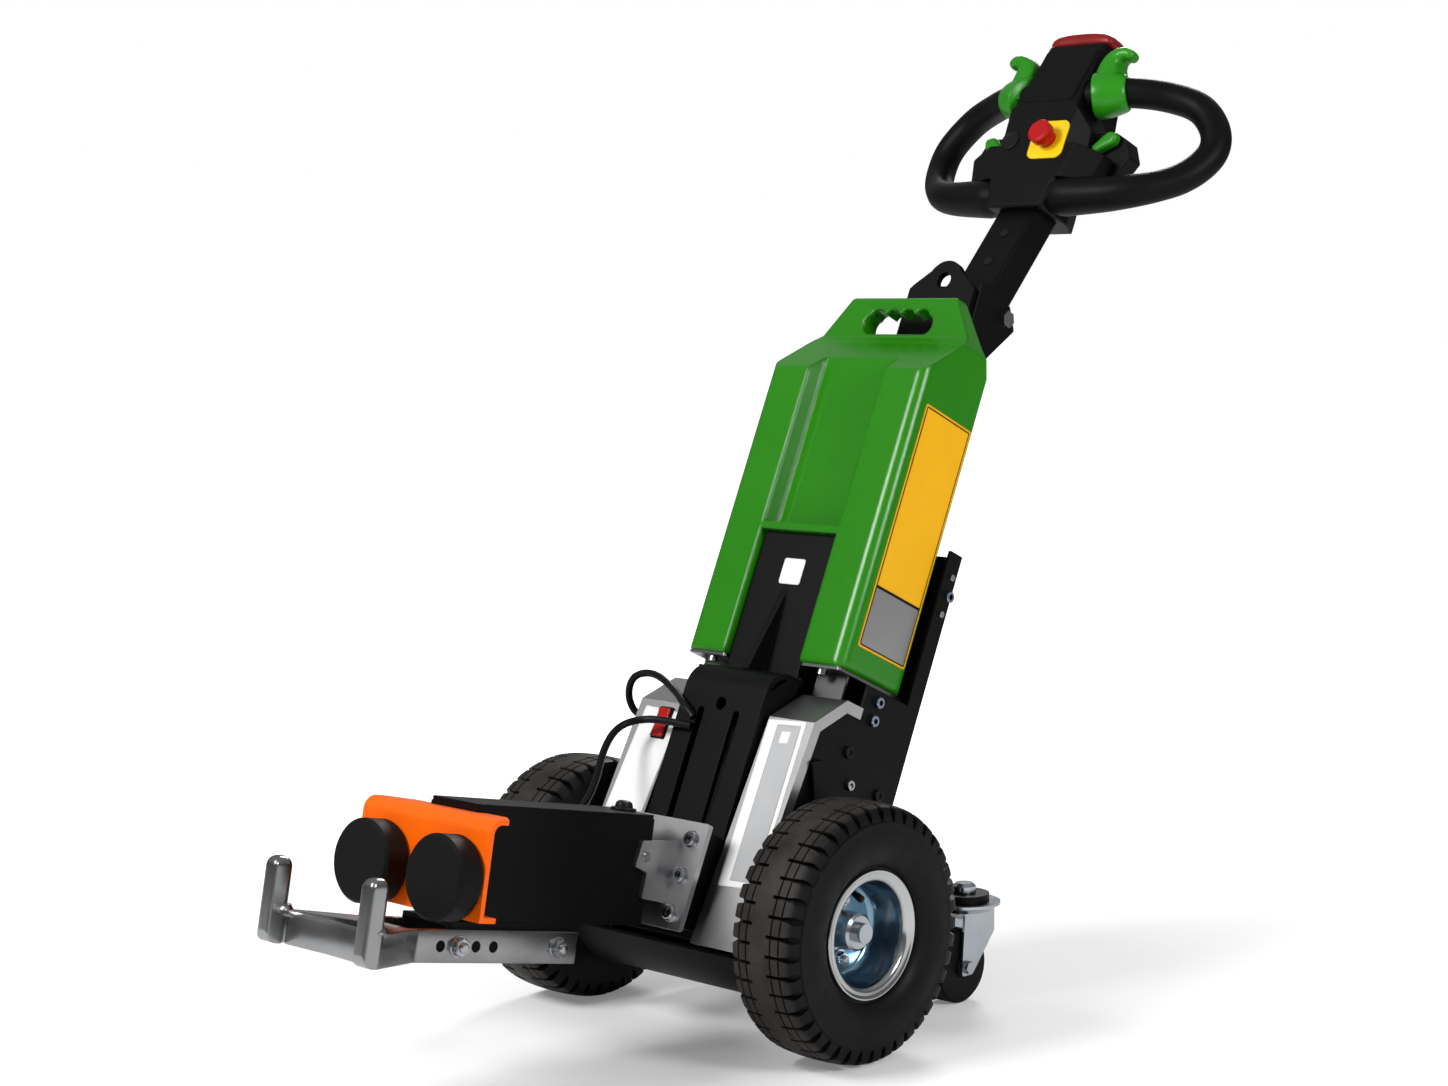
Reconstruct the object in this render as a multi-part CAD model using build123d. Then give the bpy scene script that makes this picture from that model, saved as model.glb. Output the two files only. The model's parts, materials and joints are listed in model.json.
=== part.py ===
from build123d import *
import math
import os

# Sizes are in millimetres and angles in degrees. X runs across the machine, the hitch faces -Y
# and Z is up. "back" and "up" are distances in the leaning frame of the column, whose origin is
# the wheel axis: back is square to the column, away from the hitch, and up is along it.

# Running clearances
pin_clearance = 0.05
seat_gap = 0.2
moving_gap = 6.0

# Drive wheels
wheel_diameter = 260.0
tyre_width = 85.0
tyre_shoulder_width = 70.0
tyre_bulge_diameter = 186.0
tread_drop = 10.0
crown_drop = 2.0
wheel_gap = 23.5
rim_flange_diameter = 129.0
rim_seat_diameter = 108.0
rim_width = 62.0
rim_sheet = 3.0
rim_disc_depth = 10.0
rim_dish_slope = 9.0
rim_bolt_circle = 60.0
rim_bolt_count = 4
rim_bolt_radius = 8.0
rim_bolt_height = 6.0
hub_diameter = 38.0
hub_inset = 24.0
hub_outset = 14.0
shaft_diameter = 20.0
shaft_reach = 25.0

# Leaning body
column_lean = 24.0
body_half_width = 124.0
plate_thickness = 4.0
sheet_thickness = 2.0
panel_thickness = 3.0
column_half_width = 57.0
column_front = 67.0
column_plate = 6.0
column_bottom = -50.0
column_rise = 14.0
column_bend_radius = 30.0
column_flange = 11.0
column_slot_place = 25.0
column_slot_width = 9.0
column_slot_bottom = -40.0
column_slot_top = 188.0
column_slot_radius = 4.0
column_hole_height = 194.0
column_hole_diameter = 14.0
flange_inset = 3.0
flange_top = 120.0
flange_drop = 50.0
gusset_thickness = 8.0
gusset_front = 48.0
gusset_rise = 105.0
spine_front = 22.0
spine_half_width = 51.0
cover_inner = 62.0
cover_bottom_front = 76.0
cover_bottom = -54.0
cover_top_front = 57.0
cover_top = 190.0
ridge_front = 18.0
ridge_height = 226.0
cover_back = 9.0
cover_return = 12.0
cover_profile = [
    (-cover_bottom_front, cover_bottom),
    (-cover_top_front, cover_top),
    (-ridge_front, ridge_height),
    (cover_back, ridge_height),
    (cover_back, cover_bottom),
]
side_plate_back = 98.0
side_plate_rise = 166.0
side_strip_width = 20.0
pan_radius = 84.0
pan_front = 60.0
back_panel_front = 88.0
gearbox_diameter = 108.0
motor_diameter = 92.0
motor_back = 20.0
motor_top = 190.0
carrier_boss_diameter = 56.0
carrier_outline = [
    (-48, 152),
    (-34, 158),
    (12, 152),
    (52, 140),
    (78, 104),
    (52, 10),
    (36, -40),
    (-36, -40),
    (-44, 60),
    (-30, 118),
]

# Power switch on the right-hand cover
switch_place = 81.0
switch_up = 166.0
switch_width = 16.0
switch_height = 32.0
switch_depth = 5.0

# Battery pack
case_half_width = 111.0
case_front = 29.0
case_back = 86.0
tray_rise = 32.0
case_body_height = 330.0
hip_rise = 49.0
hip_back = 20.0
grip_front = 30.0
grip_back = 47.0
grip_rise = 60.0
case_bottom = ridge_height + tray_rise
shoulder_height = case_bottom + case_body_height
hip_height = shoulder_height + hip_rise
case_top = hip_height + grip_rise
column_top = ridge_height + column_rise
side_plate_top = case_bottom + side_plate_rise
case_top_half_width = 73.0
case_corner_radius = 12.0
case_corner_chamfer = 16.0
case_edge_radius = 5.0
case_shoulder_radius = 8.0
case_back_drop = 5.0
grip_foot_rise = 12.0
grip_foot_back = 9.0
grip_foot_drop = 2.0
leg_gap_half_width = 54.0
channel_floor_half_width = 50.0
channel_depth = 19.0
channel_gap = 2.0
lip_height = 8.0
spine_rise = 140.0
spine_top = case_bottom + spine_rise
grip_half_width = 49.0
grip_window_rise = 15.0
grip_bottom = hip_height + grip_window_rise
grip_height = 24.0
finger_radius = 11.0
tray_thickness = 3.0
tray_inset = 3.0
tray_tab_place = 82.0
tray_tab_half_width = 20.0
tray_tab_inset = 22.0

# Mast and lifting eye
mast_half_width = 50.0
mast_bottom = 110.0
mast_flange_depth = 26.0
cheek_thickness = 5.0
eye_plate_half_width = 46.0
eye_plate_start = 3.0
eye_plate_rise = 40.0
eye_plate_thickness = 8.0
eye_corner = 6.0
eye_hump_radius = 24.0
eye_radius = 9.5
eye_rise = 4.0
mast_rise = 3.0
eye_plate_bottom = hip_height + eye_plate_start
eye_plate_top = case_top + eye_plate_rise
eye_height = eye_plate_top + eye_rise
mast_top = eye_plate_top + mast_rise

# Tiller
pivot_back = 142.5
pivot_drop = 20.5
pivot_up = mast_top - pivot_drop
pivot_bolt_diameter = 12.0
tiller_lean = 18.5
tube_width = 56.0
tube_depth = 40.0
tube_wall = 3.0
tube_corner = 5.0
tube_length = 205.0
tube_tail = 26.0
pivot_boss_diameter = 30.0

# Tiller head, in a frame that leans less than the tube
head_lean = 21.0
head_start = 173.7
head_front = 8.8
head_height = 207.0
head_depth = 70.0
head_edge_radius = 4.0
head_profile = [
    (-30, -17),
    (-15, 120),
    (16, 207),
    (54, 207),
    (67, 186),
    (70, 60),
    (55, -18),
]
head_outline = [
    (-37.5, -21),
    (37.5, -21),
    (47, 18),
    (46, 100),
    (40, 208),
    (-40, 208),
    (-46, 100),
    (-47, 18),
]
head_wing_half_width = 94.0
head_wing_back = 14.0
wing_outline = [
    (-86, 21),
    (86, 21),
    (94, 54),
    (60, 64),
    (-60, 64),
    (-94, 54),
]
wing_plan = [
    (-94, -6),
    (-47, -28),
    (47, -28),
    (94, -6),
    (94, 15),
    (-94, 15),
]
shoulder_outline = [
    (-60, 60),
    (60, 60),
    (60, 90),
    (45, 116),
    (-45, 116),
    (-60, 90),
]
shoulder_plan = [
    (-60, 4),
    (-45, -20),
    (45, -20),
    (60, 4),
    (60, 38),
    (-60, 38),
]
neck_plan = [
    (-38, -40),
    (38, -40),
    (38, 28),
    (24, 60),
    (-24, 60),
    (-38, 28),
]
neck_height = 16.0
head_rear_web_front = 18.0
head_rear_web_back = 40.0
rear_web_outline = [
    (-90, 24),
    (90, 24),
    (112, 60),
    (102, 82),
    (86, 91),
    (-86, 91),
    (-102, 82),
    (-112, 60),
]
badge_height = 1.5
badge_outline = [
    (-36, 121),
    (36, 121),
    (37, 198),
    (-37, 198),
]

# Handlebar loops, as (across, back, up) points in the head frame
bar_diameter = 35.0
bar_root_diameter = 37.5
bar_bend_radius = 26.0
loop_route = [
    (36, 10, 135),
    (84, 25, 144),
    (128, 47, 145),
    (165, 59, 133),
    (191, 60, 102),
    (193, 54, 70),
    (171, 34, 36),
    (121, 3, 10),
    (36, -7, 3),
]

# Controls on the head, in the head frame
estop_diameter = 29.0
estop_height = 22.0
estop_cap_height = 11.0
estop_plate_size = 49.0
estop_plate_thickness = 1.5
estop_across = 22.0
estop_up = 86.0
belly_button_front = 18.0
belly_button_back = 54.0
belly_button_step = 8.0
belly_button_side = 16.0
belly_button_slope = 6.0
belly_button_height = 20.0
belly_button_half_width = 43.0
paddle_axis = [(48, 11, 135), (84, 25, 144)]
paddle_drum_diameter = 54.0
paddle_drum_end_diameter = 44.0
paddle_lever = [
    (46.5, 136),
    (46.5, 170),
    (53, 188),
    (76, 192),
    (87, 185),
    (83, 175),
    (74, 165),
    (76, 136),
]
paddle_side = [
    (-3, 136),
    (0, 178),
    (7, 194),
    (21, 194),
    (31, 178),
    (39, 136),
]
horn_depth = 13.0
horn_outline = [
    (60, 68),
    (82, 89),
    (96, 86),
    (93, 74),
    (70, 63),
]

# Hitch arm, in a frame whose origin is the arm's hinge
hinge_front = 148.0
hinge_up = 12.0
arm_tilt = 10.5
arm_half_width = 34.0
arm_back = 11.3
arm_front = 223.0
arm_bottom = -69.0
arm_top = 37.0
arm_wall = 4.0
lid_thickness = 4.0
hinge_pin_diameter = 10.0
ear_gap = 0.5
pin_end = 2.0
ear_thickness = 5.0
mount_half_width = 69.0
mount_front = 104.0
mount_thickness = 6.0
mount_bottom = -48.0
mount_top = 62.0
block_half_width = 56.0

# Buffer plate, buffers and hook
buffer_plate_half_width = 92.0
buffer_plate_front = 256.5
buffer_plate_thickness = 5.0
buffer_plate_bottom = -62.0
buffer_plate_top = 33.0
buffer_plate_bend = 14.0
top_flange_depth = 42.0
top_flange_tip_half_width = 64.0
bottom_flange_depth = 20.0
buffer_diameter = 80.0
buffer_thickness = 29.0
buffer_edge = 3.0
buffer_spacing = 106.0
buffer_height = -26.0
carrier_depth = 35.0
carrier_back = 75.0
bar_thickness = 6.0
bar_height = 31.0
bar_top = -75.6
bar_back = 80.0
bar_straight_front = 283.0
prong_spacing = 136.0
prong_front = 374.0
prong_width = 22.0
prong_thickness = 17.0
prong_plate = 9.0
prong_corner = 12.0
prong_top = -27.0
prong_edge = 3.0
prong_overlap = 4.0
fork_web_step = 14.0
fork_web_back = 22.0
skirt_gap = 4.0
skirt_thickness = 6.0
bar_clearance = 0.3
fork_plate_back = 290.0
hook_hole_pitch = 21.8
hook_hole_first = 187.7
hook_hole_count = 4
hook_hole_diameter = 11.0
hook_bolt_diameter = 10.0
hook_rear_bolt = 105.0

# Casters
caster_spacing = 250.0
caster_back = 266.0
caster_wheel_diameter = 80.0
caster_wheel_width = 30.0
caster_trail = 20.0
caster_height = 107.0
caster_ring_diameter = 78.0
caster_ring_height = 10.0
caster_leg_thickness = 3.0
caster_axle_diameter = 8.0
caster_stem_diameter = 12.0
caster_cap_diameter = 25.0
caster_cap_height = 10.0
beam_thickness = 8.0
beam_end_radius = 27.0
beam_arm_width = 40.0
beam_arm_inner = 70.0
beam_rib_thickness = 6.0
beam_rib_height = 60.0
beam_rib_back = 40.0
beam_gap = 0.3
beam_foot_thickness = 6.0
beam_foot_bottom = -10.0
fork_bridge_thickness = 6.0
fork_front = 24.0
fork_back = 26.0
fork_side_gap = 3.0
fork_tip = 9.0

# Cables, as (across, back, up) points in the leaning frame
cable_diameter = 8.0
cable_bend_radius = 8.0
gland_diameter = 13.0
gland_length = 9.2
gland_back = -36.0
gland_drop = 33.0
gland_up = (cover_top + ridge_height) / 2 - gland_drop
cable_routes = {
    "switch_cable": [
        (-body_half_width - gland_length - 0.5, gland_back, gland_up),
        (-148, gland_back, gland_up),
        (-151, -54, 192),
        (-140, -64, 213),
        (-112, -60, 219),
        (-66, -67, 199),
        (-41, -79, 186),
        (-25, -74.5, 173.5),
    ],
    "arm_cable": [
        (-25, -73, 164.5),
        (-62, -77, 165.5),
        (-90, -83, 162),
        (-103, -100, 147),
        (-92, -121, 117),
        (-70, -138, 76),
        (-54, -163, 41),
        (-48, -189, 17),
        (-34.5, -189, 17),
    ],
}

track = 2 * (body_half_width + wheel_gap) + tyre_width
axle_height = wheel_diameter / 2
column_frame = Pos(0, 0, axle_height) * Rot(X=-column_lean)
arm_frame = Pos((column_frame * Pos(0, -hinge_front, hinge_up)).position) * Rot(X=-arm_tilt)
tiller_frame = column_frame * Pos(0, pivot_back, pivot_up) * Rot(X=-tiller_lean)
head_frame = Pos((tiller_frame * Pos(0, -head_front, head_start)).position) * Rot(X=-head_lean)
face_rise = head_profile[1][1] - head_profile[0][1]
face_lean = math.degrees(math.atan2(head_profile[1][0] - head_profile[0][0], face_rise))


def side_block(points, x_from, x_to, radius=0):
    """A block with an outline of (back, up) points, between two places across."""
    face = make_face(Polyline(*points, close=True))
    if radius:
        face = fillet(face.vertices(), radius)
    return Pos(x_from, 0, 0) * extrude(Plane.YZ * face, x_to - x_from)


def front_block(points, y_from, y_to, radius=0):
    """A block with an outline of (across, up) points, from front to back."""
    face = make_face(Polyline(*points, close=True))
    if radius:
        face = fillet(face.vertices(), radius)
    return Pos(0, y_to, 0) * extrude(Plane.XZ * face, y_to - y_from)


def plan_block(points, z_from, z_to, radius=0):
    """A block with an outline of (across, back) points, from bottom to top."""
    face = make_face(Polyline(*points, close=True))
    if radius:
        face = fillet(face.vertices(), radius)
    return Pos(0, 0, z_from) * extrude(face, z_to - z_from)


def box_between(low, high):
    """A box between two opposite corners."""
    size = [high[i] - low[i] for i in range(3)]
    middle = [(high[i] + low[i]) / 2 for i in range(3)]
    return Pos(*middle) * Box(*size)


def rod(radius, x_from, x_to, y=0, z=0):
    """A round bar that runs across the machine."""
    turned = Rot(Y=90) * Cylinder(radius, x_to - x_from)
    return Pos((x_from + x_to) / 2, y, z) * turned


def upright(radius, z_from, z_to, x=0, y=0):
    """A round bar that stands upright."""
    bar = Cylinder(radius, z_to - z_from)
    return Pos(x, y, (z_from + z_to) / 2) * bar


def mirrored(shape):
    """The same piece on the other side of the machine."""
    return mirror(shape, about=Plane.YZ)


def wheel(side):
    """One drive wheel: tyre, dished steel rim and hub, around the wheel axis."""
    outer = wheel_diameter / 2
    flange = rim_flange_diameter / 2
    seat = rim_seat_diameter / 2
    bulge = tyre_bulge_diameter / 2
    half = rim_width / 2
    half_tyre = [
        (seat + seat_gap, half - seat_gap),
        (flange + rim_sheet, half - seat_gap),
        (bulge, tyre_width / 2),
        (outer - tread_drop, tyre_shoulder_width / 2),
        (outer - crown_drop, tyre_shoulder_width / 2 - tread_drop),
    ]
    outline = half_tyre + [(outer, 0)] + [(r, -x) for r, x in reversed(half_tyre)]
    tyre = revolve(Rot(X=90) * make_face(Polyline(*outline, close=True)), Axis.Z)
    bore = seat - rim_sheet
    deep = -rim_disc_depth
    dish = bore - rim_dish_slope
    hole = hub_diameter / 2
    rim_outline = [
        (seat, -half),
        (flange, -half),
        (flange, -half - rim_sheet),
        (bore, -half - rim_sheet),
        (bore, deep - rim_sheet),
        (hole, deep - rim_sheet),
        (hole, deep),
        (dish, deep),
        (bore, deep + rim_dish_slope),
        (bore, half + rim_sheet),
        (flange, half + rim_sheet),
        (flange, half),
        (seat, half),
    ]
    rim = revolve(Rot(X=90) * make_face(Polyline(*rim_outline, close=True)), Axis.Z)
    for place in PolarLocations(rim_bolt_circle / 2, rim_bolt_count):
        bolt = extrude(RegularPolygon(rim_bolt_radius, 6), rim_bolt_height + rim_sheet / 2)
        rim += Pos(0, 0, deep - rim_sheet / 2) * place * bolt
    hub = upright(hole, -hub_inset, hub_outset)
    hub += upright(shaft_diameter / 2, body_half_width - track / 2, shaft_reach)
    place = Pos(side * track / 2, 0, axle_height) * Rot(Y=90 * side)
    return {"tyre": place * tyre, "rim": place * rim, "hub": place * hub}


def fuse_all(shapes):
    """One solid from touching pieces."""
    total = shapes[0]
    for shape in shapes[1:]:
        total = total + shape
    return total


def battery_case():
    """The moulded battery pack: two legs, a channel between them and a grip on top."""
    front = -case_front
    plan = [
        (-case_half_width, front),
        (case_half_width, front),
        (case_half_width, case_back - case_corner_chamfer),
        (case_half_width - case_corner_chamfer, case_back),
        (-case_half_width + case_corner_chamfer, case_back),
        (-case_half_width, case_back - case_corner_chamfer),
    ]
    face = make_face(Polyline(*plan, close=True))
    face = fillet([v for v in face.vertices() if v.Y < 0], case_corner_radius)
    body = Pos(0, 0, case_bottom) * extrude(face, case_top - case_bottom)
    profile = [
        (front, case_bottom),
        (front, shoulder_height),
        (hip_back, hip_height),
        (grip_front, hip_height + grip_foot_rise),
        (grip_front, case_top),
        (grip_back, case_top),
        (grip_back + grip_foot_back, hip_height + grip_foot_rise - grip_foot_drop),
        (case_back, shoulder_height - case_back_drop),
        (case_back, case_bottom),
    ]
    body &= side_block(profile, -case_half_width, case_half_width, case_edge_radius)
    outline = [
        (-case_half_width, case_bottom),
        (case_half_width, case_bottom),
        (case_half_width, hip_height),
        (case_top_half_width, case_top),
        (-case_top_half_width, case_top),
        (-case_half_width, hip_height),
    ]
    body &= front_block(outline, front - 1, case_back + 1, case_shoulder_radius)
    channel = [
        (-leg_gap_half_width, front - 1),
        (leg_gap_half_width, front - 1),
        (channel_floor_half_width, front + channel_depth),
        (-channel_floor_half_width, front + channel_depth),
    ]
    body -= plan_block(channel, spine_top + channel_gap + lip_height, hip_height)
    body -= box_between(
        (-leg_gap_half_width, front - 1, case_bottom - 1),
        (leg_gap_half_width, -spine_front + column_plate + channel_gap, spine_top + channel_gap),
    )
    grip = [
        (-grip_half_width, grip_bottom),
        (grip_half_width, grip_bottom),
        (grip_half_width, grip_bottom + grip_height),
        (-grip_half_width, grip_bottom + grip_height),
    ]
    window = front_block(grip, 0, case_back, grip_height / 2 - 1)
    for x in (-1.5, -0.5, 0.5, 1.5):
        finger = Rot(X=90) * Cylinder(finger_radius, case_back)
        window += Pos(x * 2 * (finger_radius - 0.5), case_back / 2, grip_bottom + grip_height - 5) * finger
    return column_frame * (body - window)


def battery_tray():
    """The steel tray that the battery pack stands on, with the same outline."""
    front = -case_front + tray_inset
    wide = case_half_width - tray_inset
    gap = leg_gap_half_width
    back = case_back - tray_inset
    deep = -spine_front + column_plate + channel_gap
    plan = [
        (-wide, front),
        (-gap, front),
        (-gap, deep),
        (gap, deep),
        (gap, front),
        (wide, front),
        (wide, back),
        (-wide, back),
    ]
    top = case_bottom
    tray = plan_block(plan, top - tray_thickness, top, tray_thickness)
    tab_front = front + tray_tab_inset
    for side in (-1, 1):
        middle = side * tray_tab_place
        low = (middle - tray_tab_half_width, tab_front, ridge_height)
        high = (middle + tray_tab_half_width, tab_front + tray_thickness, top - tray_thickness)
        tray += box_between(low, high)
    return column_frame * tray


def column():
    """The bent front column with its side flanges, slots, spine plate and gusset."""
    front = -column_front
    t = column_plate
    r = column_bend_radius
    turn = math.sin(math.radians(45))
    outer = Polyline((front, column_bottom), (front, column_top - r))
    outer += ThreePointArc(
        (front, column_top - r),
        (front + r - r * turn, column_top - r + r * turn),
        (front + r, column_top),
    )
    outer += Polyline(
        (front + r, column_top),
        (-spine_front, column_top),
        (-spine_front, spine_top),
        (-spine_front + t, spine_top),
        (-spine_front + t, column_top - t),
        (front + r, column_top - t),
    )
    outer += ThreePointArc(
        (front + r, column_top - t),
        (front + r - (r - t) * turn, column_top - r + (r - t) * turn),
        (front + t, column_top - r),
    )
    outer += Polyline((front + t, column_top - r), (front + t, column_bottom), (front, column_bottom))
    sheet = extrude(Plane.YZ * make_face(outer), column_half_width, both=True)
    trim = box_between(
        (spine_half_width, -spine_front - 40, column_top + 2), (case_half_width, 20, spine_top + 1)
    )
    sheet -= trim
    sheet -= mirrored(trim)
    flange = [
        (front + flange_inset, column_bottom),
        (front + flange_inset, column_top - r),
        (front + r, column_top - flange_inset),
        (-spine_front, column_top - flange_inset),
        (-spine_front, column_top - flange_drop),
        (front + column_flange, flange_top),
        (front + column_flange, column_bottom),
    ]
    for side in (-1, 1):
        inner = side * (column_half_width - t)
        outer_face = side * column_half_width
        sheet += side_block(flange, min(inner, outer_face), max(inner, outer_face))
    gusset = [
        (-gusset_front, column_top - 1),
        (-spine_front + 1, column_top - 1),
        (-spine_front + 1, column_top + gusset_rise),
        (-spine_front, column_top + gusset_rise - column_plate + 1),
    ]
    sheet += side_block(gusset, -gusset_thickness / 2, gusset_thickness / 2)
    for x in (-column_slot_place, column_slot_place):
        left = x - column_slot_width / 2
        right = x + column_slot_width / 2
        slot = [
            (left, column_slot_bottom),
            (right, column_slot_bottom),
            (right, column_slot_top),
            (left, column_slot_top),
        ]
        sheet -= front_block(slot, front - 1, front + t + 1, column_slot_radius)
    sheet -= Pos(0, front, column_hole_height) * Rot(X=90) * Cylinder(column_hole_diameter / 2, 4 * t)
    return column_frame * sheet


def cover_face(inset):
    """The cover's outline, moved inwards at its front, lid and top, open below and behind."""
    face = make_face(Polyline(*cover_profile, close=True))
    if not inset:
        return face
    slope = (cover_bottom_front - cover_top_front) / (cover_top - cover_bottom)
    reach = 2 * body_half_width
    beyond = [
        (-cover_bottom_front - slope * reach, cover_bottom - reach),
        *cover_profile[1:3],
        (reach, ridge_height),
        (reach, cover_bottom - reach),
    ]
    inner = offset(make_face(Polyline(*beyond, close=True)), -inset, kind=Kind.INTERSECTION)
    return face & inner


def body_cover():
    """The two stainless covers beside the column, with short returns at their sides."""
    covers = []
    for side in (-1, 1):
        x_low = min(side * cover_inner, side * body_half_width)
        width = body_half_width - cover_inner
        sheet = extrude(Plane.YZ * (cover_face(0) - cover_face(sheet_thickness)), width)
        returns = extrude(Plane.YZ * (cover_face(0) - cover_face(cover_return)), sheet_thickness)
        returns += Pos(width - sheet_thickness, 0, 0) * returns
        covers.append(column_frame * Pos(x_low, 0, 0) * (sheet + returns))
    return covers


def side_plate(side):
    """A side plate: body outline below, a narrow strip behind the battery above."""
    inset = sheet_thickness + seat_gap
    strip = side_plate_back - side_strip_width
    tray_under = case_bottom - tray_thickness - plate_thickness
    behind = [
        (cover_back - 1, cover_bottom + inset),
        (cover_back - 1, ridge_height - inset),
        (cover_back + seat_gap, ridge_height - inset),
        (cover_back + seat_gap, tray_under),
        (strip, tray_under),
        (strip, side_plate_top),
        (side_plate_back, side_plate_top),
        (side_plate_back, 10),
        (side_plate_back - 30, cover_bottom + inset),
    ]
    outline = cover_face(inset) + make_face(Polyline(*behind, close=True))
    arc_top = cover_bottom + inset + 0.5
    below = Pos(0, arc_top - pan_radius) * Rectangle(2 * pan_radius, 2 * pan_radius)
    outline += Circle(pan_radius) & below
    outline -= Circle(shaft_diameter / 2 + moving_gap)
    plate = extrude(Plane.YZ * outline, plate_thickness)
    outer = body_half_width - sheet_thickness
    x_low = min(side * outer, side * (outer - plate_thickness))
    return column_frame * Pos(x_low, 0, 0) * plate


def axle_carrier(side):
    """The bolted plate and bearing that carry one end of the axle."""
    inner = body_half_width
    x_low = min(side * inner, side * (inner + plate_thickness))
    plate = side_block(carrier_outline, x_low, x_low + plate_thickness, 3)
    boss_out = side * (inner + wheel_gap - moving_gap)
    boss_in = side * (inner - sheet_thickness)
    plate += rod(carrier_boss_diameter / 2, min(boss_in, boss_out), max(boss_in, boss_out))
    plate -= rod(shaft_diameter / 2 + pin_clearance, -track, track)
    return column_frame * plate


def belly_pan():
    """The curved sheet that closes the body under the drive unit."""
    wide = body_half_width - sheet_thickness - plate_thickness - seat_gap
    ring = rod(pan_radius, -wide, wide) - rod(pan_radius - panel_thickness, -wide, wide)
    keep = box_between((-wide, -pan_front, -pan_radius - 1), (wide, pan_radius + 1, 20))
    return column_frame * (ring & keep)


def drive_unit():
    """The closed motor and gearbox on the wheel axis, as one plain block."""
    wide = body_half_width - sheet_thickness - plate_thickness - seat_gap
    gearbox = rod(gearbox_diameter / 2, -wide, wide)
    motor = upright(motor_diameter / 2, 0, motor_top, 0, motor_back)
    return column_frame * (gearbox + motor)


def power_switch():
    """The rocker switch on the front of the right-hand cover."""
    slope = (cover_bottom_front - cover_top_front) / (cover_top - cover_bottom)
    low = switch_up - switch_height / 2
    high = switch_up + switch_height / 2
    low_face = -cover_top_front - slope * (cover_top - low)
    high_face = -cover_top_front - slope * (cover_top - high)
    outline = [
        (low_face, low),
        (low_face - switch_depth, low),
        (low_face - switch_depth / 2, switch_up),
        (high_face - switch_depth, high),
        (high_face, high),
    ]
    left = -switch_place - switch_width / 2
    return column_frame * side_block(outline, left, left + switch_width)


def back_panel():
    """The rear sheet between the side plates."""
    wide = body_half_width - sheet_thickness - plate_thickness - seat_gap
    low = (-wide, back_panel_front, 0)
    high = (wide, back_panel_front + panel_thickness, side_plate_top - 4)
    return column_frame * box_between(low, high)


def mast():
    """The channel behind the battery with the cheeks that hold the tiller."""
    front = back_panel_front + panel_thickness
    web_top = mast_top - mast_rise
    web_high = (mast_half_width, front + cheek_thickness, web_top)
    web = box_between((-mast_half_width, front, mast_bottom), web_high)
    deep = front + cheek_thickness + mast_flange_depth
    cheek = [
        (front, mast_bottom),
        (deep, mast_bottom),
        (deep, pivot_up - 66),
        (pivot_back + 22, pivot_up - 5),
        (pivot_back + 4, pivot_up + 17),
        (front + 9, mast_top + 2),
        (front, mast_top),
    ]
    total = web
    for side in (-1, 1):
        x_low = min(side * mast_half_width, side * (mast_half_width - cheek_thickness))
        total += side_block(cheek, x_low, x_low + cheek_thickness, 3)
    total -= rod(pivot_bolt_diameter / 2 + pin_clearance, -100, 100, pivot_back, pivot_up)
    return column_frame * total


def lifting_eye():
    """The lug plate with its eye, on the front of the mast."""
    back = back_panel_front + panel_thickness
    wide = eye_plate_half_width
    flank = eye_plate_top + 0.75 * eye_hump_radius
    outline = [
        (-wide, eye_plate_bottom),
        (wide, eye_plate_bottom),
        (wide, eye_plate_top - eye_corner),
        (wide - eye_corner, eye_plate_top),
        (0.75 * eye_hump_radius, flank),
        (-0.75 * eye_hump_radius, flank),
        (-wide + eye_corner, eye_plate_top),
        (-wide, eye_plate_top - eye_corner),
    ]
    plate = front_block(outline, back - eye_plate_thickness, back)
    middle = back - eye_plate_thickness / 2
    hump = Rot(X=90) * Cylinder(eye_hump_radius, eye_plate_thickness)
    plate += Pos(0, middle, eye_height) * hump
    plate -= Pos(0, middle, eye_height) * Rot(X=90) * Cylinder(eye_radius, 2 * eye_plate_thickness)
    return column_frame * plate


def hex_bolt(radius, length_half, head_radius, head_height):
    """A through bolt along X with a hexagon head and a nut."""
    bolt = rod(radius, -length_half, length_half)
    head = extrude(Plane.YZ * RegularPolygon(head_radius, 6), head_height)
    bolt += Pos(length_half, 0, 0) * head
    bolt += Pos(-length_half - head_height, 0, 0) * head
    return bolt


def tiller_pin():
    """The bolt that the tiller turns on."""
    bolt = hex_bolt(pivot_bolt_diameter / 2, mast_half_width, 10, 7)
    return column_frame * Pos(0, pivot_back, pivot_up) * bolt


def tiller_tube():
    """The hollow tiller tube with its pivot boss, and the space that it takes in the head."""
    section = RectangleRounded(tube_width, tube_depth, tube_corner)
    outer = Pos(0, 0, -tube_tail) * extrude(section, tube_length + tube_tail)
    inner_size = (tube_width - 2 * tube_wall, tube_depth - 2 * tube_wall)
    inner = Pos(0, 0, -tube_tail - 1) * extrude(
        RectangleRounded(*inner_size, tube_corner - 2), tube_length + tube_tail - tube_wall
    )
    boss_end = mast_half_width - cheek_thickness - 0.5
    tube = outer - inner + rod(pivot_boss_diameter / 2, -boss_end, boss_end)
    tube -= rod(pivot_bolt_diameter / 2 + pin_clearance, -100, 100)
    return tiller_frame * tube, tiller_frame * outer


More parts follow.
